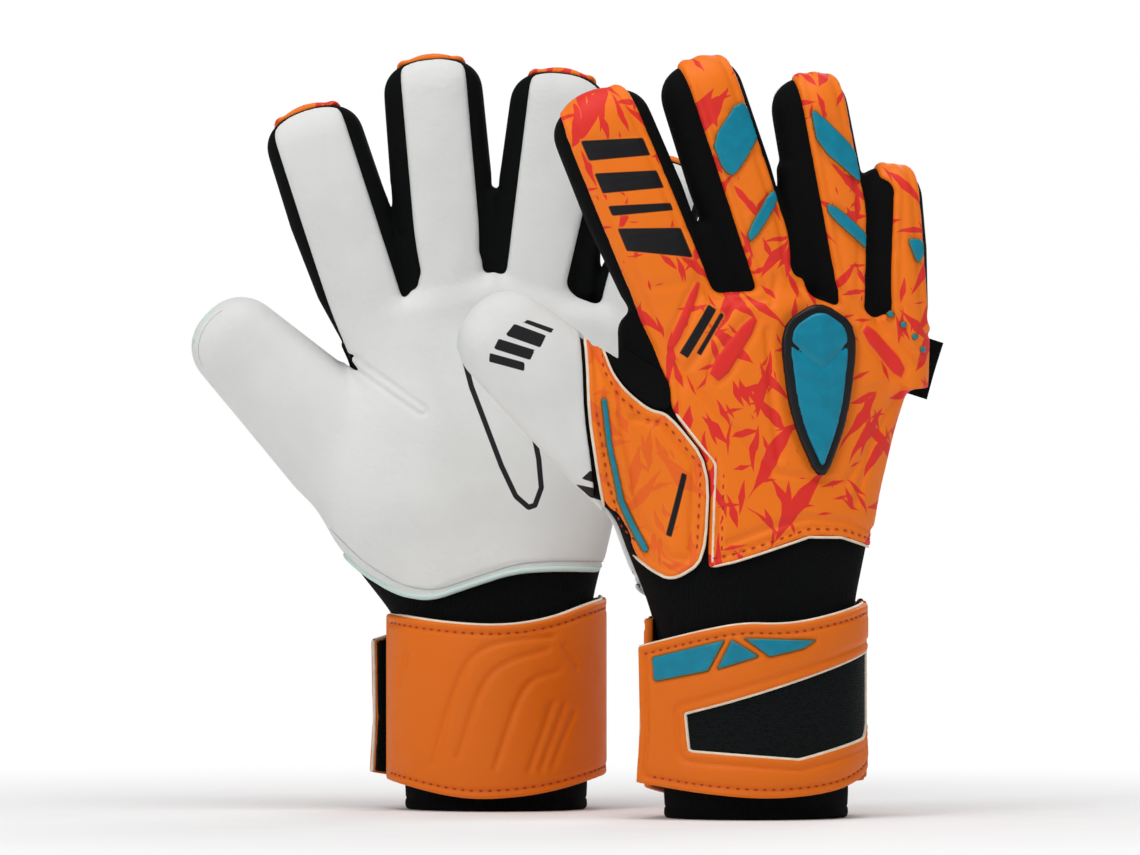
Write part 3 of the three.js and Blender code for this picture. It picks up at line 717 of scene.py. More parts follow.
class Glove:
    """One glove's distance grid and the flat outlines of its panels."""

    def __init__(self, side):
        self.side = side
        self.digits = DIGITS[side]
        self.space = Space(*GLOVE_BOX)
        self.body = glove_distance(self.space, side)
        self.x, self.z = self.space.x, self.space.z
        webs = [(x, z) for x, z in WEBS[side] if -50 < x < 66]
        edge = [(x, z - 1.5) for x, z in reversed(webs)]
        hand = rounded(BACK_LOW + [(74, edge[0][1])] + edge + BACK_THUMB_EDGE)
        slits = [line_distance([low, high], self.x, self.z)[0] - half for low, high, half in WEB_SLITS[side]]
        slits = np.min(slits, axis=0)
        self.back_outline = self.panel(hand, BACK_SPAN[side], slits)
        palm = PALM_LOW + [(x, z + 0.5) for x, z in reversed(WEBS[side]) if x > -35] + PALM_CROTCH
        self.palm_outline = self.panel(palm, FRONT_SPAN, slits)
        self.thumb_base = outline_distance(rounded(THUMB_BASE), self.x, self.z)
        self.thumb_skin = outline_distance(rounded(THUMB_SKIN), self.x, self.z)
        self.insert = outline_distance(rounded(GAP_INSERT), self.x, self.z)
        self.front = self.height_map(1)
        self.back = self.height_map(-1)

    def panel(self, outline, spans, slits):
        """A panel of the hand with its strips up the fingers, slit between them."""
        flat = outline_distance(outline, self.x, self.z)
        for name, span in spans.items():
            flat = smooth_min(flat, strip_distance(self.x, self.z, self.digits[name], span), STRIP_BLEND)
        return smooth_max(flat, -slits, 1.5)

    def back_seam(self):
        """How far towards the palm the moulded backs reach: further over the fingertips."""
        seam = np.full(np.broadcast(self.x, self.z).shape, SEAM_BACK, np.float32)
        for name in FINGERS:
            digit = self.digits[name]
            u, t = digit_axes(digit, self.x, self.z)
            over = TIP_SEAM_RISE * ramp(t, digit["length"] - 9, digit["length"] - 1) * ramp(np.abs(u), 17, 12)
            seam = np.maximum(seam, SEAM_BACK + over)
        return seam

    def height_map(self, sign):
        """How far the glove's surface stands towards the palm (1) or the back (-1), over x and z."""
        inside = self.body < 0
        y = self.space.y[0, :, 0]
        order = slice(None, None, -1) if sign > 0 else slice(None)
        first = np.argmax(inside[:, order, :], axis=1)
        index = len(y) - 1 - first if sign > 0 else first
        index = np.clip(index, 1, len(y) - 2)
        i, k = np.meshgrid(np.arange(inside.shape[0]), np.arange(inside.shape[2]), indexing="ij")
        here, beyond = self.body[i, index, k], self.body[i, index + sign, k]
        share = np.clip(here / np.minimum(here - beyond, -1e-6), 0, 1)
        height = y[index] + sign * share * self.space.step
        return np.where(inside.any(1), height, np.nan)

    def surface_y(self, points, sign):
        """Height of the surface under points given as x, z."""
        height = self.front if sign > 0 else self.back
        p = np.asarray(points, float)
        s, low = self.space.step, self.space.low
        fx, fz = (p[:, 0] - low[0]) / s, (p[:, 1] - low[2]) / s
        i = np.clip(fx.astype(int), 0, height.shape[0] - 2)
        k = np.clip(fz.astype(int), 0, height.shape[1] - 2)
        tx, tz = fx - i, fz - k
        h = (height[i, k] * (1 - tx) * (1 - tz) + height[i + 1, k] * tx * (1 - tz)
             + height[i, k + 1] * (1 - tx) * tz + height[i + 1, k + 1] * tx * tz)
        nearest = height[np.clip(np.rint(fx).astype(int), 0, height.shape[0] - 1),
                         np.clip(np.rint(fz).astype(int), 0, height.shape[1] - 1)]
        h = np.where(np.isnan(h), nearest, h)
        return np.where(np.isnan(h), 0, h)

    def sample(self, field, points):
        """A 3-D field's value at points, to the nearest sample."""
        p = np.rint((points - self.space.low) / self.space.step).astype(int)
        p = np.clip(p, 0, np.array(field.shape) - 1)
        return field[p[:, 0], p[:, 1], p[:, 2]]


def groove(line, x, z, depth, width, closed=False):
    """How far a pressed line, or a closed outline, lowers the surface."""
    distance = np.abs(outline_distance(line, x, z)) if closed else line_distance(line, x, z)[0]
    return dip(distance, depth, width)


def build_back(glove):
    """The moulded backs of hand and fingers, with pressed lines, a red print and dark bars."""
    side, x, z, space = glove.side, glove.x, glove.z, glove.space
    press = np.zeros(np.broadcast(x, z).shape, np.float32)
    for line in GROOVES:
        press = np.maximum(press, groove(line, x, z, 1.1, 1.5))
    for bar in RED_BARS:
        press = np.maximum(press, groove(rounded(bar, 1), x, z, 0.9, 1.2, True))
    bars = lambda a, b: nearest_outline([rounded(bar, 1) for bar in RED_BARS], a, b)
    press -= 1.2 * ramp(-bars(x, z), 0.2, 2.2)
    press = np.maximum(press, groove(rounded(EMBLEM), x, z, 0.8, 2.2, True))
    for name in FINGERS:
        span = BACK_SPAN[side][name]
        for t in (4, 24, 46, 62):
            line = spread(span, [(-0.1, t + 5), (0.5, t), (1.1, t - 4)], glove.digits[name])
            press = np.maximum(press, groove(line, x, z, 0.55, 1.6))
        for outline in PATCHES.get(name, []):
            edge = rounded(spread(span, outline, glove.digits[name]), 1)
            press = np.maximum(press, groove(edge, x, z, 0.5, 1.3, True))
    press = np.maximum(press, dip(glove.back_outline + 3.4, 0.9, 1.3))
    field = smooth_max(glove.body - PAD_LIFT + press, glove.back_outline, 2.4)
    field = smooth_max(field, space.y - glove.back_seam(), 2.6)
    points, quads = space.surface(field)
    px, pz = points[:, 0], points[:, 2]
    inked = [spread(BACK_SPAN[side]["index"], bar, glove.digits["index"]) for bar in INDEX_INK] + INK_BARS
    ink = nearest_outline(inked, px, pz)
    attributes = {"print": ramp(ink, 0.2, 0.6), "red": bars(px, pz) + 0.6, "ink": ink}
    made = split_and_place("backhand", points, quads, side, "print", attributes, owners=range(5))
    return made, field


def build_latex(glove):
    """The latex palm, finger fronts and the thumb's wrap, with printed marks in a dark ink."""
    side, space = glove.side, glove.space
    clear = np.maximum(0.5 - glove.back_outline, 0.4 - glove.thumb_base)
    thumb_side = outline_distance(THUMB_SIDE_OF_GAP, glove.x, glove.z)
    seam = SEAM_FRONT - THUMB_SEAM_DROP * ramp(-thumb_side, 0, 2)
    flap = np.minimum(seam - space.y, np.maximum(np.maximum(glove.thumb_skin, clear), 0.6 - glove.insert))
    field = smooth_max(glove.body - 0.5, np.maximum(glove.palm_outline, flap), 2.2)
    field = smooth_max(field, flap, 2.2)
    hem = np.abs(outline_distance(PALM_LOW + [(-134, 228)], glove.x, glove.z) + 2.6)
    dart, _ = line_distance(THUMB_DART, glove.x, glove.z)
    press = dip(dart - 1.7, 0.85, 0.8) + dip(hem, 0.7, 0.8) * (glove.z < 120)
    field = field + np.where(space.y > 0, press, 0)
    points, quads = space.surface(field)
    px, py, pz = points.T
    blade = np.abs(outline_distance(rounded(PALM_BLADE, 1), px, pz)) - 1.0
    thumb = glove.digits["thumb"]
    bars = nearest_outline([[digit_point(thumb, u, t) for u, t in bar] for bar in THUMB_INK], px, pz)
    ink = np.minimum(np.where(py > 6, blade, BARE), np.where(py < -2, bars, BARE))
    return split_and_place("latex", points, quads, side, "latex", {"ink": ink}), field


def build_core(glove, *covers):
    """The fabric body, without what the padded panels hide, and the wrist's knit below it."""
    side = glove.side
    points, quads = glove.space.surface(glove.body + CORE_INSET)
    hidden = np.zeros(len(points), bool)
    for cover in covers:
        hidden |= glove.sample(cover, points) < -1.2
    hidden &= np.hypot(points[:, 0] - CORE_KEPT[0], points[:, 2] - CORE_KEPT[1]) > CORE_KEPT[2]
    quads = quads[~hidden[quads].all(1)]
    low = points[quads][:, :, 2].mean(1) < KNIT_TOP
    made = split_and_place("gusset", points, quads[~low], side, "fabric", {})
    used, index = np.unique(quads[low], return_inverse=True)
    wrist = add_mesh(f"{side}.wrist knit", points[used], index.reshape(-1, 4), side, MATERIALS["knit"])
    x, y, z = points[used].T
    add_ribs(wrist, np.arctan2(y, x) * 4.0, 0.0, z / 10)
    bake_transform(wrist)
    made["wrist"] = wrist
    return made


def add_ribs(obj, around, through, up):
    """Coordinates for cloths, in centimetres: along the ribs' repeat, through the cloth and upright."""
    ribs = np.column_stack(np.broadcast_arrays(around, through, up))
    attribute = obj.data.attributes.new("rib", "FLOAT_VECTOR", "POINT")
    attribute.data.foreach_set("vector", ribs.astype(np.float32).ravel())


def slab(glove, outline, low, high, edge=1.0):
    """A raised piece on the hand's back, from low to high above the surface."""
    field = smooth_max(glove.body - high, outline, edge)
    return np.maximum(np.maximum(field, low - glove.body), glove.space.y + 2)


def piece(glove, name, field, material, body, attributes=None):
    """A piece meshed from a field, with its attributes made from its points."""
    points, quads = glove.space.surface(field)
    values = {key: make(points) for key, make in (attributes or {}).items()}
    obj = add_mesh(f"{glove.side}.{name}", points, quads, glove.side, MATERIALS[material], values)
    return attach(obj, glove.side, body)


def build_thumb_base(glove):
    """The moulded panel over the thumb's base."""
    x, z, space = glove.x, glove.z, glove.space
    press = np.zeros(np.broadcast(x, z).shape, np.float32)
    for line in THUMB_GROOVES:
        press = np.maximum(press, groove(line, x, z, 1.2, 1.5))
    press = np.maximum(press, groove(THUMB_INLAY, x, z, 0.9, 2.2))
    press = np.maximum(press, dip(glove.thumb_base + 3.2, 0.9, 1.2))
    field = smooth_max(glove.body - PAD_LIFT + press, glove.thumb_base, 2.2)
    field = smooth_max(field, space.y - SEAM_BACK, 2.2)
    attributes = {"print": lambda p: np.full(len(p), 0.35), "red": lambda p: np.full(len(p), BARE),
                  "ink": lambda p: outline_distance(THUMB_BASE_MARK, p[:, 0], p[:, 2])}
    return piece(glove, "thumb base", field, "print", "hand", attributes), field


def build_insert(glove):
    """The ribbed cloth between the thumb's base and the back of the hand."""
    field = smooth_max(glove.body - 0.2, glove.insert, 1.5)
    field = smooth_max(field, glove.space.y + 3, 2)
    obj = piece(glove, "thumb gap insert", field, "knit", "hand")
    rest = np.empty(len(obj.data.vertices) * 3, np.float32)
    obj.data.attributes["rest"].data.foreach_get("vector", rest)
    x, _, z = rest.reshape(-1, 3).T
    add_ribs(obj, x * 0.5 + z * 0.9, 0.0, z)
    return obj


def build_emblem(glove):
    """The shield on the back of the hand: a black base and a faceted teal inlay."""
    x, z = glove.x, glove.z
    outer = outline_distance(rounded(EMBLEM, 2), x, z)
    base = piece(glove, "emblem base", slab(glove, outer, 0.2, 3.0, 1.2), "emblem", "hand")
    ridge, _ = line_distance([(20, 184), (20, 128)], x, z)
    facet = 1.5 - 0.13 * np.minimum(ridge, 9) - groove([(8, 176), (20, 166), (31, 176)], x, z, 0.7, 0.9)
    field = np.maximum(smooth_max(glove.body - 3.1 - facet, outer + 3.1, 0.8), 1.0 - glove.body)
    inlay = piece(glove, "emblem inlay", np.maximum(field, glove.space.y + 2), "teal", "hand")
    return base, inlay


def build_trim(glove):
    """Patches, dots and bars that stand on the moulded back."""
    side, x, z = glove.side, glove.x, glove.z
    for name, outlines in PATCHES.items():
        span, digit = BACK_SPAN[side][name], glove.digits[name]
        edges = [rounded(spread(span, outline, digit), 1) for outline in outlines]
        flat = np.maximum(nearest_outline(edges, x, z), glove.back_outline + 0.6)
        rim = lambda p: nearest_outline(edges, p[:, 0], p[:, 2])
        piece(glove, f"{name} patch", slab(glove, flat, 0, 1.7, 0.9), "patch", name, {"rim": rim})
    dots = lambda x, z: np.min([np.hypot(x - a, z - b) - DOT_RADIUS for a, b in DOTS], axis=0)
    rim = lambda p: dots(p[:, 0], p[:, 2])
    piece(glove, "dots", slab(glove, dots(x, z), 0, 1.5, 0.7), "patch", "hand", {"rim": rim})
    bar = lambda x, z: line_distance(THUMB_INLAY, x, z)[0] - 1.3
    rim = lambda p: bar(p[:, 0], p[:, 2])
    piece(glove, "thumb inlay", slab(glove, bar(x, z), -0.4, 1.2, 0.7), "patch", "hand", {"rim": rim})


# Tubes, piping and stitches

def resampled(points, spacing):
    p = np.asarray(points, float)
    length = np.concatenate([[0], np.cumsum(np.linalg.norm(np.diff(p, axis=0), axis=1))])
    count = max(2, int(round(length[-1] / spacing)) + 1)
    at = np.linspace(0, length[-1], count)
    return np.stack([np.interp(at, length, p[:, i]) for i in range(p.shape[1])], 1)


def ring_quads(rings, sides):
    """Quads between rings of points, one ring after another."""
    i, j = np.meshgrid(np.arange(rings - 1), np.arange(sides), indexing="ij")
    after = (j + 1) % sides
    quads = [i * sides + j, i * sides + after, (i + 1) * sides + after, (i + 1) * sides + j]
    return np.stack(quads, -1).reshape(-1, 4)


def tube_mesh(points, radii, sides=8):
    """Points and quads of a tube along a line of 3-D points."""
    p = np.asarray(points, float)
    tangent = np.gradient(p, axis=0)
    tangent /= np.maximum(np.linalg.norm(tangent, axis=1, keepdims=True), 1e-9)
    up = np.array([0.13, 1.0, 0.21])
    a = np.cross(tangent, up)
    a /= np.maximum(np.linalg.norm(a, axis=1, keepdims=True), 1e-9)
    b = np.cross(tangent, a)
    angle = np.linspace(0, 2 * math.pi, sides, endpoint=False)
    r = np.broadcast_to(np.asarray(radii, float), len(p))[:, None, None]
    ring = a[:, None] * np.cos(angle)[None, :, None] + b[:, None] * np.sin(angle)[None, :, None]
    v = (p[:, None] + r * ring).reshape(-1, 3)
    return v, ring_quads(len(p), sides)


def merged(parts):
    """Several (points, faces) as one."""
    points, faces, base = [], [], 0
    for p, f in parts:
        points.append(p)
        faces.append(f + base)
        base += len(p)
    return np.concatenate(points), np.concatenate(faces)


def tapered(count, radius, ends=2):
    """Radii along a tube that narrows at its ends."""
    r = np.full(count, radius)
    for i in range(ends):
        share = math.sin(math.pi / 2 * (i + 0.35) / ends)
        r[i] = r[-1 - i] = radius * share
    return r


FINE = 0.35  # spacing of the points that stitches are laid along


def stitches(line, length=2.4, gap=1.4, radius=0.34):
    """Short threads laid end to end along a 3-D line."""
    fine = resampled(line, FINE)
    pitch = length + gap
    parts = []
    for k in range(int(FINE * len(fine) / pitch)):
        first = int(k * pitch / FINE)
        part = fine[first:first + int(length / FINE)]
        if len(part) < 4:
            continue
        part = part[np.linspace(0, len(part) - 1, 5).astype(int)]
        parts.append(tube_mesh(part, tapered(5, radius), 6))
    return merged(parts)


def on_surface(glove, line, sign, lift):
    """The runs of a line, given as x and z, that lie on the glove's back or palm, lifted off it."""
    p = resampled(line, 1.2)
    y = glove.surface_y(p, sign)
    on = sign * y > 2.5
    breaks = np.flatnonzero(np.diff(on.astype(int))) + 1
    path = np.stack([p[:, 0], y + sign * lift, p[:, 1]], 1)
    runs = zip(np.split(path, breaks), np.split(on, breaks))
    return [run for run, keep in runs if keep[0] and len(run) > 4]


def add_lines(glove, name, lines, material, body, radius=None, sign=-1, lift=0.7, **kind):
    """Piping (with a radius) or stitches along lines given as x, z on the glove's back or palm."""
    parts = []
    for line in lines:
        for path in on_surface(glove, line, sign, lift):
            parts.append(stitches(path, **kind) if radius is None
                         else tube_mesh(path, tapered(len(path), radius)))
    points, quads = merged(parts)
    obj = add_mesh(f"{glove.side}.{name}", points, quads, glove.side, MATERIALS[material])
    attach(obj, glove.side, body)


# The cuff: strips bent round an oval

def softened(points, passes=3):
    """An open line with its inner corners rounded off."""
    p = np.asarray(points, float)
    for _ in range(passes if len(p) > 2 else 0):
        cut = np.stack([0.75 * p[:-1] + 0.25 * p[1:], 0.25 * p[:-1] + 0.75 * p[1:]], 1).reshape(-1, 2)
        p = np.vstack([p[:1], cut[1:-1], p[-1:]])
    return p


class Bend:
    """The way round an oval. Arc length runs from the back's middle (-y), positive towards +x."""

    def __init__(self, semi, straight=None):
        """straight is the angle past which a strip leaves the oval along its tangent."""
        self.semi = semi
        self.angle = np.linspace(-1.5 * math.pi, 1.25 * math.pi, 3961)
        p = np.stack([semi[0] * np.cos(self.angle), semi[1] * np.sin(self.angle)], 1)
        arc = np.concatenate([[0], np.cumsum(np.linalg.norm(np.diff(p, axis=0), axis=1))])
        self.arc = arc - np.interp(-math.pi / 2, self.angle, arc)
        self.straight_from = -1e6 if straight is None else self.at_angle(straight)

    def at_angle(self, degrees):
        return float(np.interp(math.radians(degrees), self.angle, self.arc))

    def bent(self, points):
        """Strip points as glove points."""
        a, b = self.semi
        s = points[:, 0]
        t = np.interp(np.maximum(s, self.straight_from), self.arc, self.angle)
        normal = np.stack([np.cos(t) / a, np.sin(t) / b], 1)
        normal /= np.linalg.norm(normal, axis=1, keepdims=True)
        flat = np.stack([a * np.cos(t), b * np.sin(t)], 1) + normal * points[:, 1:2]
        tangent = np.stack([normal[:, 1], -normal[:, 0]], 1)
        flat += tangent * np.maximum(self.straight_from - s, 0)[:, None]
        return np.column_stack([flat, points[:, 2]])

    def arc_of(self, x, palm=False):
        """Arc length at a given x on the palm or back side."""
        c = np.arccos(np.clip(np.asarray(x, float) / self.semi[0], -1, 1))
        s = np.interp(c if palm else -c, self.angle, self.arc)
        if palm:
            return s
        edge = self.bent(np.array([[self.straight_from, 0, 0], [self.straight_from - 1, 0, 0]]))[:, 0]
        return np.where(x < edge[0], self.straight_from - (edge[0] - x) / (edge[0] - edge[1]), s)

    def outline(self, points):
        """An outline given as x, z on the back, unrolled."""
        p = resampled(np.vstack([points, points[:1]]), 1.5)[:-1]
        return rounded(np.column_stack([self.arc_of(p[:, 0]), p[:, 1]]), 1)

    def line(self, points, palm=False):
        """A line given as x, z, unrolled."""
        p = resampled(softened(points), 1.0)
        return np.column_stack([self.arc_of(p[:, 0], palm), p[:, 1]])


class Strip:
    """A flat strip shaped as distances over arc (s), thickness (r) and height (z), then bent."""

    def __init__(self, side, bend, arcs, heights, thickness):
        self.side, self.bend = side, bend
        self.space = Space((arcs[0] - 3, -3, heights[0] - 3), (arcs[1] + 3, thickness + 4, heights[1] + 3),
                           STRIP_STEP)
        self.s, self.r, self.z = self.space.x, self.space.y, self.space.z

    def add(self, name, field, material, body, attributes=None):
        points, quads = self.space.surface(field)
        values = {key: make(points[:, 0], points[:, 2]) for key, make in (attributes or {}).items()}
        return self.place(name, points, quads, material, body, values)

    def place(self, name, points, quads, material, body, values=None):
        obj = add_mesh(f"{self.side}.{name}", self.bend.bent(points), quads, self.side, MATERIALS[material],
                       values)
        add_ribs(obj, *points.T / 10)
        return attach(obj, self.side, body)

    def stitch(self, name, lines):
        """Red stitches along lines given as arc and height, on the strap's face."""
        rows = [np.insert(line, 1, STRAP_THICK - 0.95, axis=1) for line in lines]
        self.place(name, *merged([stitches(row, 2.0, 1.2, 0.33) for row in rows]), "red_thread",
                   "strap" if name.startswith("flap") else "cuff")


STRAP_INNER = (38.7, 33.2)
STRAP_THICK = 3.6
EDGE_INSET = 3.1  # from the strap's edges to their stitches and pressed lines
BAND_ANGLES = (-7.6, 176)
BAND_TOP = [(-42.4, 74.6), (-20, 71), (2.4, 69.7), (20, 72.4), (33, 77.5), (42.2, 80.2)]
BAND_LOW = [(-42.2, 12.2), (-20, 6.2), (-3.9, 4.4), (20, 7), (42.2, 14.2)]
BAND_EMBOSS = [
    [(-31, 59), (-33.5, 48)],
    [(-13, 21), (-3, 55), (18, 61)],
    [(-22, 18), (-13, 52), (-3, 64), (20, 66)],
    [(0, 17), (10, 50), (22, 53)],
    [(12, 16), (20, 41)], [(16, 16), (24, 40)], [(20, 17), (27.5, 38)],
    [(24, 62), (28.5, 54)],
]
FLAP_STRAIGHT, FLAP_SEWN = -135, -9  # angles where the flap leaves the cuff's curve, and of its sewn edge
FLAP_TIP = -48  # x of the flap's free end
FLAP_TOP = [(-46, 63.6), (-16.6, 72.7), (1.9, 71.8), (20, 75), (42.2, 80.5)]
FLAP_LOW = [(42.2, 24), (39.2, 18.3), (24.4, 10.6), (-2.9, 7.6), (-27, 9.8), (-46.6, 13.6), (-45.4, 34)]
FLAP_WINDOW = [(-31.5, 39.4), (39.6, 62.6), (39.9, 38.6), (35, 29.3), (6.7, 22.2), (-30.3, 25.3)]
FLAP_INLAYS = [
    [(-41.5, 60), (-18.6, 67), (-24, 54.8), (-40.8, 50.6)],
    [(-17, 67), (-7.3, 60.4), (-22, 55.2)],
    [(-13.8, 67.4), (13.4, 66.5), (8, 63), (-4.4, 60)],
]


def strap_body(strip, flat, press, puff, edge):
    """A foam strip with pressed lines, puffed between them."""
    field = smooth_max(strip.r - STRAP_THICK + 0.4 + press - puff, flat, edge)
    return smooth_max(field, -strip.r, 0.8)


def build_band(side):
    """The foam band round the palm side of the cuff, with its cut edge and stitches."""
    bend = Bend(STRAP_INNER)
    first, last = (bend.at_angle(angle) for angle in BAND_ANGLES)
    strip = Strip(side, bend, (bend.at_angle(-8), last), (2, 83), STRAP_THICK)
    s, z = strip.s, strip.z
    top = np.vstack([[last + 9, BAND_TOP[0][1]], bend.line(BAND_TOP, True), [first - 9, 80.6]])
    low = np.vstack([[last + 9, BAND_LOW[0][1]], bend.line(BAND_LOW, True), [first - 9, 15]])
    height = lambda line, at: np.interp(at, line[::-1, 0], line[::-1, 1])
    flat = np.maximum(np.maximum(z - height(top, s), height(low, s) - z), np.maximum(s - last, first - s))
    press = dip(flat + EDGE_INSET, 0.85, 0.9)
    for line in BAND_EMBOSS:
        press = np.maximum(press, groove(bend.line(line, True), s, z, 0.9, 1.25))
    puff = 0.5 * ramp(-flat, 4, 14)
    band = strip.add("palm band", strap_body(strip, flat, press, puff, 1.3), "foam", "cuff")
    at = np.linspace(first + 0.5, last - 0.5, 200)
    edge = np.column_stack([at, np.full(len(at), 0.9), height(top, at) - 0.1])
    strip.place("band cut edge", *tube_mesh(edge, 0.85), "cream", "cuff")
    at = np.linspace(first + 3, last - 3, 260)
    strip.stitch("band stitches", [np.column_stack([at, height(line, at) + inset])
                                   for line, inset in ((top, -EDGE_INSET), (low, EDGE_INSET))])
    return band


def flap_strip(side, tip):
    """The strip that the flap is cut from, its sewn end, and distances to the flap's outline."""
    bend = Bend(STRAP_INNER, FLAP_STRAIGHT)
    end = bend.at_angle(FLAP_SEWN)
    strip = Strip(side, bend, (float(bend.arc_of(tip)), end), (3, 84), STRAP_THICK)
    outline = np.vstack([bend.line(FLAP_TOP), [[end + 8, 81], [end + 8, 24]], bend.line(FLAP_LOW[:-1]),
                         bend.line(FLAP_LOW[-2:])])
    return strip, end, outline_distance(outline, strip.s, strip.z)


def build_flap(side):
    """The closing flap across the back of the cuff, with its window, inlays, edges and stitches."""
    strip, end, outline = flap_strip(side, FLAP_TIP)
    bend, s, r, z = strip.bend, strip.s, strip.r, strip.z
    flat = np.maximum(outline, s - end)
    ring = bend.outline(FLAP_WINDOW)
    window = outline_distance(ring, s, z)
    shapes = [bend.outline(shape) for shape in FLAP_INLAYS]
    inlays = lambda a, b: nearest_outline(shapes, a, b)
    press = np.maximum(dip(flat + 3.2, 0.85, 0.9), dip(window - 3.6, 0.8, 1.0))
    press = np.maximum(press, 0.9 * ramp(-inlays(s, z), -1.2, 0.6))
    puff = 0.4 * ramp(-np.maximum(flat, -window), 2, 8)
    field = strap_body(strip, np.maximum(flat, -window - 0.1), press, puff, 1.2)
    flap = strip.add("strap flap", field, "foam", "strap")
    inner = np.maximum(window - 1.2, flat + 0.4)
    field = smooth_max(np.maximum(r - STRAP_THICK + 1.7, 0.4 - r), inner, 0.6)
    mesh = strip.add("strap window", field, "mesh", "strap")
    raised = smooth_max(np.maximum(r - STRAP_THICK - 0.35, 1.5 - r), inlays(s, z), 0.9)
    inlay = strip.add("strap inlays", raised, "patch", "strap", {"rim": inlays})

    top, ring = bend.line(FLAP_TOP), np.vstack([ring, ring[:1]])
    free = bend.line([FLAP_LOW[-2], FLAP_LOW[-1], FLAP_TOP[0]])
    edges = ((top[top[:, 0] < end - 0.4], 0.9), (free, 0.9),
             (ring[ring[:, 0] < end - 0.8], STRAP_THICK - 1.5))
    tubes = [tube_mesh(resampled(np.insert(line, 1, lift, axis=1), 1.0), 0.7) for line, lift in edges]
    strip.place("flap cut edges", *merged(tubes), "cream", "strap")
    rows = []
    for line, inset in ((top, -3.2), (bend.line(FLAP_LOW[1:-1]), 3.2)):
        line = line[(line[:, 0] < end - 2) & (line[:, 0] > bend.arc_of(FLAP_TIP) + 4)]
        rows.append(line + (0, inset))
    rows.append(bend.line([(-43.0, 17), (-42.2, 34), (-42.6, 59)]))
    strip.stitch("flap stitches", rows)
    return flap, mesh, inlay


def build_flap_lining(side):
    """Dark cloth on the flap's inner face, turned out round its free end."""
    strip, end, outline = flap_strip(side, FLAP_TIP - 0.6)
    flat = np.maximum(outline + 0.5, strip.s - end + 1)
    field = smooth_max(np.maximum(strip.r - 0.35, -0.75 - strip.r), flat, 0.4)
    strip.add("flap lining", field, "mesh", "strap")


TAPES = {
    "loop_patch": dict(semi=(34.8, 29.3), angles=(-158, -60), heights=(16, 62), thickness=1.4, body="cuff"),
    "hook_patch": dict(semi=(36.5, 31.0), angles=(-152, -118), heights=(18, 58), thickness=1.7, body="strap"),
}
TAPE_CORNER = 3


def build_tape(side, name):
    """A patch of loop or hook tape, with rounded corners and a sewn border."""
    tape = TAPES[name]
    bend = Bend(tape["semi"])
    arcs, heights = [bend.at_angle(angle) for angle in tape["angles"]], tape["heights"]
    strip = Strip(side, bend, arcs, heights, tape["thickness"])
    across, up = (np.abs(at - sum(ends) / 2) - (ends[1] - ends[0]) / 2 + TAPE_CORNER
                  for at, ends in ((strip.s, arcs), (strip.z, heights)))
    flat = np.hypot(np.maximum(across, 0), np.maximum(up, 0)) + np.minimum(np.maximum(across, up), 0)
    flat -= TAPE_CORNER
    field = smooth_max(strip.r - tape["thickness"] + 0.1 + dip(flat + 2.2, 0.4, 0.6), flat, 0.6)
    return strip.add(name, np.maximum(field, 0.1 - strip.r), name, tape["body"])


# The sleeve's skin, down its inside, round the rolled rim and up: height and semi-axes
SLEEVE = [
    (70, 33, 26), (60, 32, 26.5), (12, 31.6, 26.2), (2, 31.6, 26.2), (0.4, 32.2, 26.7), (0.1, 33.0, 27.4),
    (0.1, 33.4, 27.9), (0.5, 34.1, 28.6), (1.6, 34.5, 29.0), (3.4, 34.4, 28.9), (4.2, 34.0, 28.5),
    (5, 34.3, 28.8), (9, 34.5, 29), (12, 34.5, 29), (30, 34.6, 29.1), (66, 35, 29.6), (70, 35, 28),
]


def build_sleeve(side, count=96):
    """The knit sleeve under the strap, open at both ends."""
    angle = np.linspace(0, 2 * math.pi, count, endpoint=False)
    v = np.concatenate([np.stack([a * np.cos(angle), b * np.sin(angle), np.full(count, z)], 1)
                        for z, a, b in SLEEVE])
    obj = add_mesh(f"{side}.cuff sleeve", v, ring_quads(len(SLEEVE), count), side, MATERIALS["knit"])
    add_ribs(obj, np.tile(angle, len(SLEEVE)) * 5.0, 0.0, v[:, 2] / 10)
    return attach(obj, side, "cuff")


LABEL_WIDTH, LABEL_HEIGHT, LABEL_THICK = 8.6, 22.0, 0.9
LABEL_LEAN = math.radians(17)
LABEL_PLACE = (60.8, 168)  # x and z of the middle of its sewn edge


def build_label(side):
    """A folded woven label sewn into the little-finger seam."""
    rows, columns = 12, 6
    i, j = np.meshgrid(np.arange(rows + 1), np.arange(columns + 1), indexing="ij")
    a, b = j / columns * LABEL_WIDTH, (i / rows - 0.5) * LABEL_HEIGHT
    bow = 0.8 * np.sin(math.pi * i / rows) * (a / LABEL_WIDTH) ** 2
    half = LABEL_THICK / 2 * (1.0 - 0.25 * (a / LABEL_WIDTH) ** 6)
    x = LABEL_PLACE[0] + a * math.cos(LABEL_LEAN) + b * math.sin(LABEL_LEAN)
    z = LABEL_PLACE[1] - a * math.sin(LABEL_LEAN) + b * math.cos(LABEL_LEAN)
    points = np.concatenate([np.stack([x, bow + y, z], -1).reshape(-1, 3) for y in (half, -half)])
    front = np.arange(i.size).reshape(i.shape)
    back = front + i.size
    faces = [np.stack([back[:-1, :-1], back[:-1, 1:], back[1:, 1:], back[1:, :-1]], -1),
             np.stack([front[:-1, :-1], front[1:, :-1], front[1:, 1:], front[:-1, 1:]], -1)]
    rim = np.concatenate([front[0, :-1], front[:-1, -1], front[-1, :0:-1], front[:0:-1, 0]])
    after = np.roll(rim, -1)
    faces.append(np.stack([rim, after, after + i.size, rim + i.size], -1))
    faces = np.concatenate([face.reshape(-1, 4) for face in faces])
    return attach(add_mesh(f"{side}.side label", points, faces, side, MATERIALS["label"]), side, "hand")


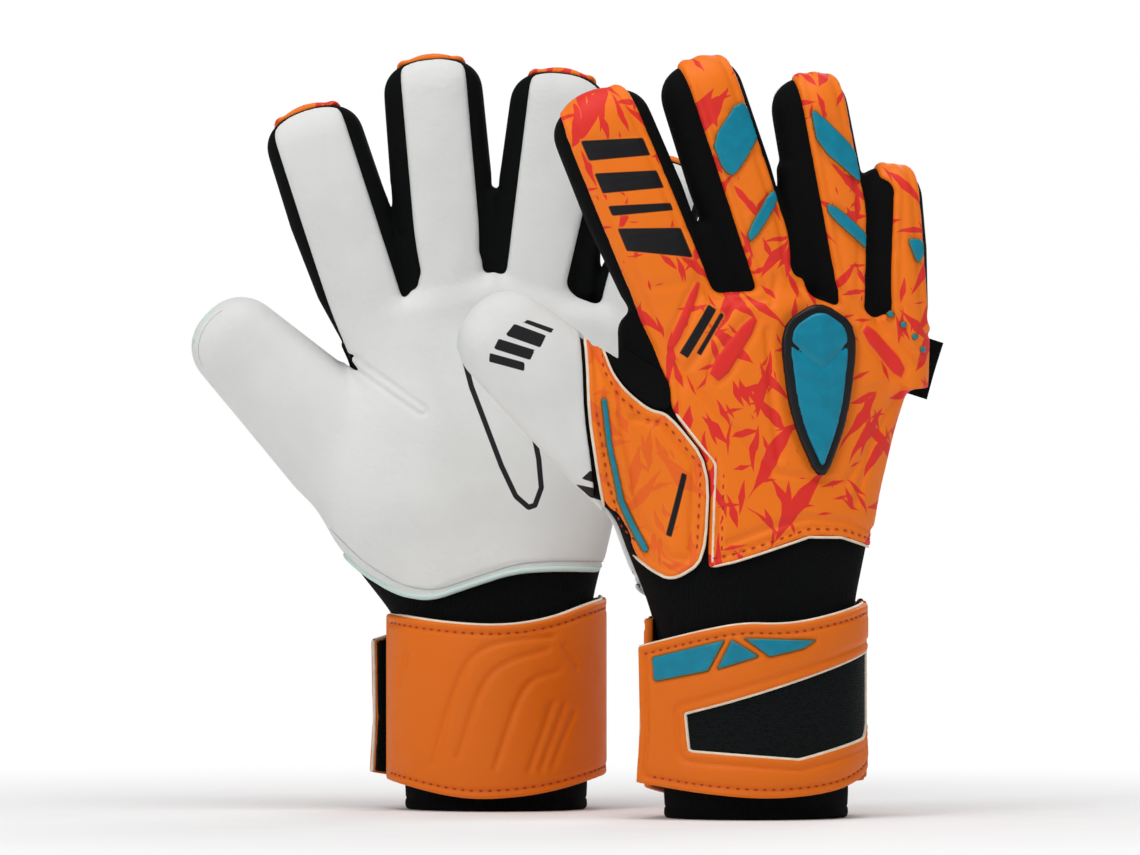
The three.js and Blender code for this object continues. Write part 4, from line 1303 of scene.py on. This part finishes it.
def build_trimmings(glove):
    """Piped edges and stitches round the panels of the hand."""
    side = glove.side
    base = rounded(THUMB_BASE)
    loop = np.vstack([base, base[:1]])
    add_lines(glove, "thumb base edge", [loop], "cream", "hand", radius=0.62, lift=-0.2)
    inset = [(-46, 147.5), (-38.6, 146.2), (-25.8, 129.9), (-28.2, 97)]
    add_lines(glove, "thumb base stitches", [inset, [(-61, 176), (-61.5, 166), (-56, 156), (-46, 148)],
                                             [(-64.8, 150), (-60, 125), (-53, 108.5), (-44, 97)]],
              "red_thread", "hand", lift=0.35)
    beside = [(-34.4, 149.6), (-20.2, 130.9), (-22.4, 94)]
    add_lines(glove, "backhand thumb edge", [beside], "cream", "hand", radius=0.6, lift=-0.1)
    hem = [(-22.4, 93.2), (-14, 95), (-4, 98), (14.8, 104), (28, 103.8), (43.0, 99.6)]
    add_lines(glove, "backhand hem edge", [hem], "cream", "hand", radius=0.5, lift=0.0)
    above = [(x, z + 3.1) for x, z in hem]
    inner = [(x + 3.1, z) for x, z in beside[1:]]
    add_lines(glove, "backhand stitches", [above, inner], "red_thread", "hand", lift=0.35)
    # the latex's rolled hem on the palm, and the seam above it
    palm_hem = rounded(PALM_LOW)[6:-8]
    add_lines(glove, "palm hem", [palm_hem], "mint_edge", "hand", radius=1.1, sign=1, lift=-0.1)
    seam = [(x + 1.6, z + 3.0) for x, z in palm_hem]
    add_lines(glove, "palm hem stitches", [seam], "pale_thread", "hand", sign=1, lift=0.2,
              length=1.6, gap=0.9, radius=0.26)


def build_thumb_stitches(glove):
    """The bound edge round the outside of the thumb's tip, and the seam beside it."""
    digit = glove.digits["thumb"]
    middle = digit["length"] - THUMB_TIP

    def arc(reach, first, last):
        return [digit_point(digit, (reach + 3) * math.sin(a), middle + reach * math.cos(a))
                for a in np.linspace(first, last, 24)]

    add_lines(glove, "thumb tip edge", [arc(14.6, -1.5, 0.35)], "mint_edge", "thumb", radius=0.8, sign=1,
              lift=-0.1)
    add_lines(glove, "thumb tip stitches", [arc(12.4, -1.5, 0.4)], "pale_thread", "thumb", sign=1, lift=0.5,
              length=1.6, gap=1.2, radius=0.26)


def build_glove(side):
    """All pieces of one glove, listed with slot names, and the CAD nodes that they replace."""
    glove = Glove(side)
    latex, latex_field = build_latex(glove)
    back, back_field = build_back(glove)
    base, base_field = build_thumb_base(glove)
    core = build_core(glove, latex_field, back_field, base_field)
    insert = build_insert(glove)
    emblem, emblem_inlay = build_emblem(glove)
    build_trim(glove)
    label = build_label(side)
    build_trimmings(glove)
    build_thumb_stitches(glove)
    band = build_band(side)
    flap, mesh, inlay = build_flap(side)
    sleeve = build_sleeve(side)
    build_flap_lining(side)
    for tape in TAPES:
        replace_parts(build_tape(side, tape), f"{side}_{tape}")

    # each piece, its material slot and its CAD nodes
    pieces = [
        (latex["hand"], "latex", "palm_panel"), (latex["thumb"], "thumb_latex", "thumb_wrap"),
        (back["hand"], "backhand", "backhand_panel"), (base, "thumb_base", "thumb_base_panel"),
        (insert, "gusset_fabric", "thumb_gap_insert"), (emblem, "emblem", "emblem_base"),
        (emblem_inlay, "teal_inlay", "emblem_inlay"), (label, "label", "side_label"),
        (core["hand"], "gusset_fabric", "pinky_side_gusset", "hand_lining"),
        (core["thumb"], "gusset_fabric"), (core["wrist"], "knit", "wrist_knit"),
        (sleeve, "knit", "cuff_sleeve"), (band, "band", "palm_band"), (flap, "band", "strap_flap"),
        (mesh, "mesh_window", "strap_window"), (inlay, "teal_inlay", "strap_inlay"),
    ]
    for name in FINGERS:
        pieces += [(latex[name], "latex", name + "_front"), (back[name], "backhand", name + "_back"),
                   (core[name], "gusset_fabric", name + "_gusset")]
    for obj, slot, *nodes in pieces:
        if nodes:
            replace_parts(obj, *[f"{side}_{node}" for node in nodes])


for glove_side in SIDES:
    build_glove(glove_side)

# Stage: a pale floor, soft light from all round, and a long lens in front of the gloves

ROOM_LIGHT = 0.3
# Each lamp's name, place, target, size and power
LAMPS = [
    ("overhead", (0, -0.5, 1.9), (0, 0, 0.1), (1.6, 1.2), 22),
    ("key", (-1.1, -1.6, 1.1), (0, 0, 0.16), (0.7, 0.7), 10),
    ("rear", (0.7, 1.7, 1.0), (0, 0, 0.14), (1.0, 0.8), 8),
]
FLOOR_RADIUS = 6
FLOOR_FADE = (0.12, 0.55)  # how far from the middle the floor turns to white
CAMERA_DISTANCE = 3.6
CAMERA_HEIGHT = 0.1445
CAMERA_OFFSET = 0.028  # how far right of the left glove's cuff the camera stands
VIEW_WIDTH = 0.4275  # what the view takes in, at the gloves
SENSOR = 36


def build_lamp(name, place, target, size, power):
    data = bpy.data.lights.new(name, "AREA")
    data.shape = "RECTANGLE"
    data.size, data.size_y = size
    data.energy = power
    lamp = bpy.data.objects.new(name, data)
    lamp.location = place
    lamp.rotation_euler = (Vector(target) - Vector(place)).to_track_quat("-Z", "Y").to_euler()
    bpy.context.scene.collection.objects.link(lamp)


def build_floor():
    """A pale floor that runs out into white."""
    bpy.ops.mesh.primitive_circle_add(vertices=96, radius=FLOOR_RADIUS, fill_type="TRIFAN")
    floor = bpy.context.object
    floor.name = "floor"
    s = Shader("pale floor")
    place = s.node("TexCoord", {}, "Object")
    s.done(s.mix(s.noise(place, 40, 2), (0.9, 0.9, 0.9, 1), (0.94, 0.94, 0.94, 1)), 0.9)
    radius = s.node("VectorMath", {0: place}, "Value", operation="LENGTH")
    glow = s.node("Emission", {"Color": WHITE})
    faded = s.node("MixShader", {0: s.step(radius, *FLOOR_FADE), 1: s.surface.outputs[0], 2: glow})
    s.put(s.nodes["Material Output"].inputs["Surface"], faded)
    floor.data.materials.append(s.material)


def build_world():
    """A room dimmer than the white that shows behind the gloves."""
    world = bpy.data.worlds.new("studio")
    graph = Graph(world)
    dim = graph.nodes["Background"]
    graph.put(dim.inputs["Color"], WHITE)
    graph.put(dim.inputs["Strength"], ROOM_LIGHT)
    bright = graph.node("Background", {"Color": WHITE})
    seen = graph.node("LightPath", {}, "Is Camera Ray")
    both = graph.node("MixShader", {0: seen, 1: dim.outputs[0], 2: bright})
    graph.put(graph.nodes["World Output"].inputs["Surface"], both)
    bpy.context.scene.world = world


def build_camera():
    data = bpy.data.cameras.new("camera")
    data.sensor_width = SENSOR
    data.lens = SENSOR * CAMERA_DISTANCE / VIEW_WIDTH
    data.clip_start, data.clip_end = 0.1, 60
    camera = bpy.data.objects.new("camera", data)
    camera.location = (ORIGIN["left"][0] + CAMERA_OFFSET, -CAMERA_DISTANCE, CAMERA_HEIGHT)
    camera.rotation_euler = (math.pi / 2, 0, 0)
    bpy.context.scene.collection.objects.link(camera)
    bpy.context.scene.camera = camera
    bpy.context.scene.view_settings.view_transform = "Standard"


build_floor()
build_world()
for lamp in LAMPS:
    build_lamp(*lamp)
build_camera()
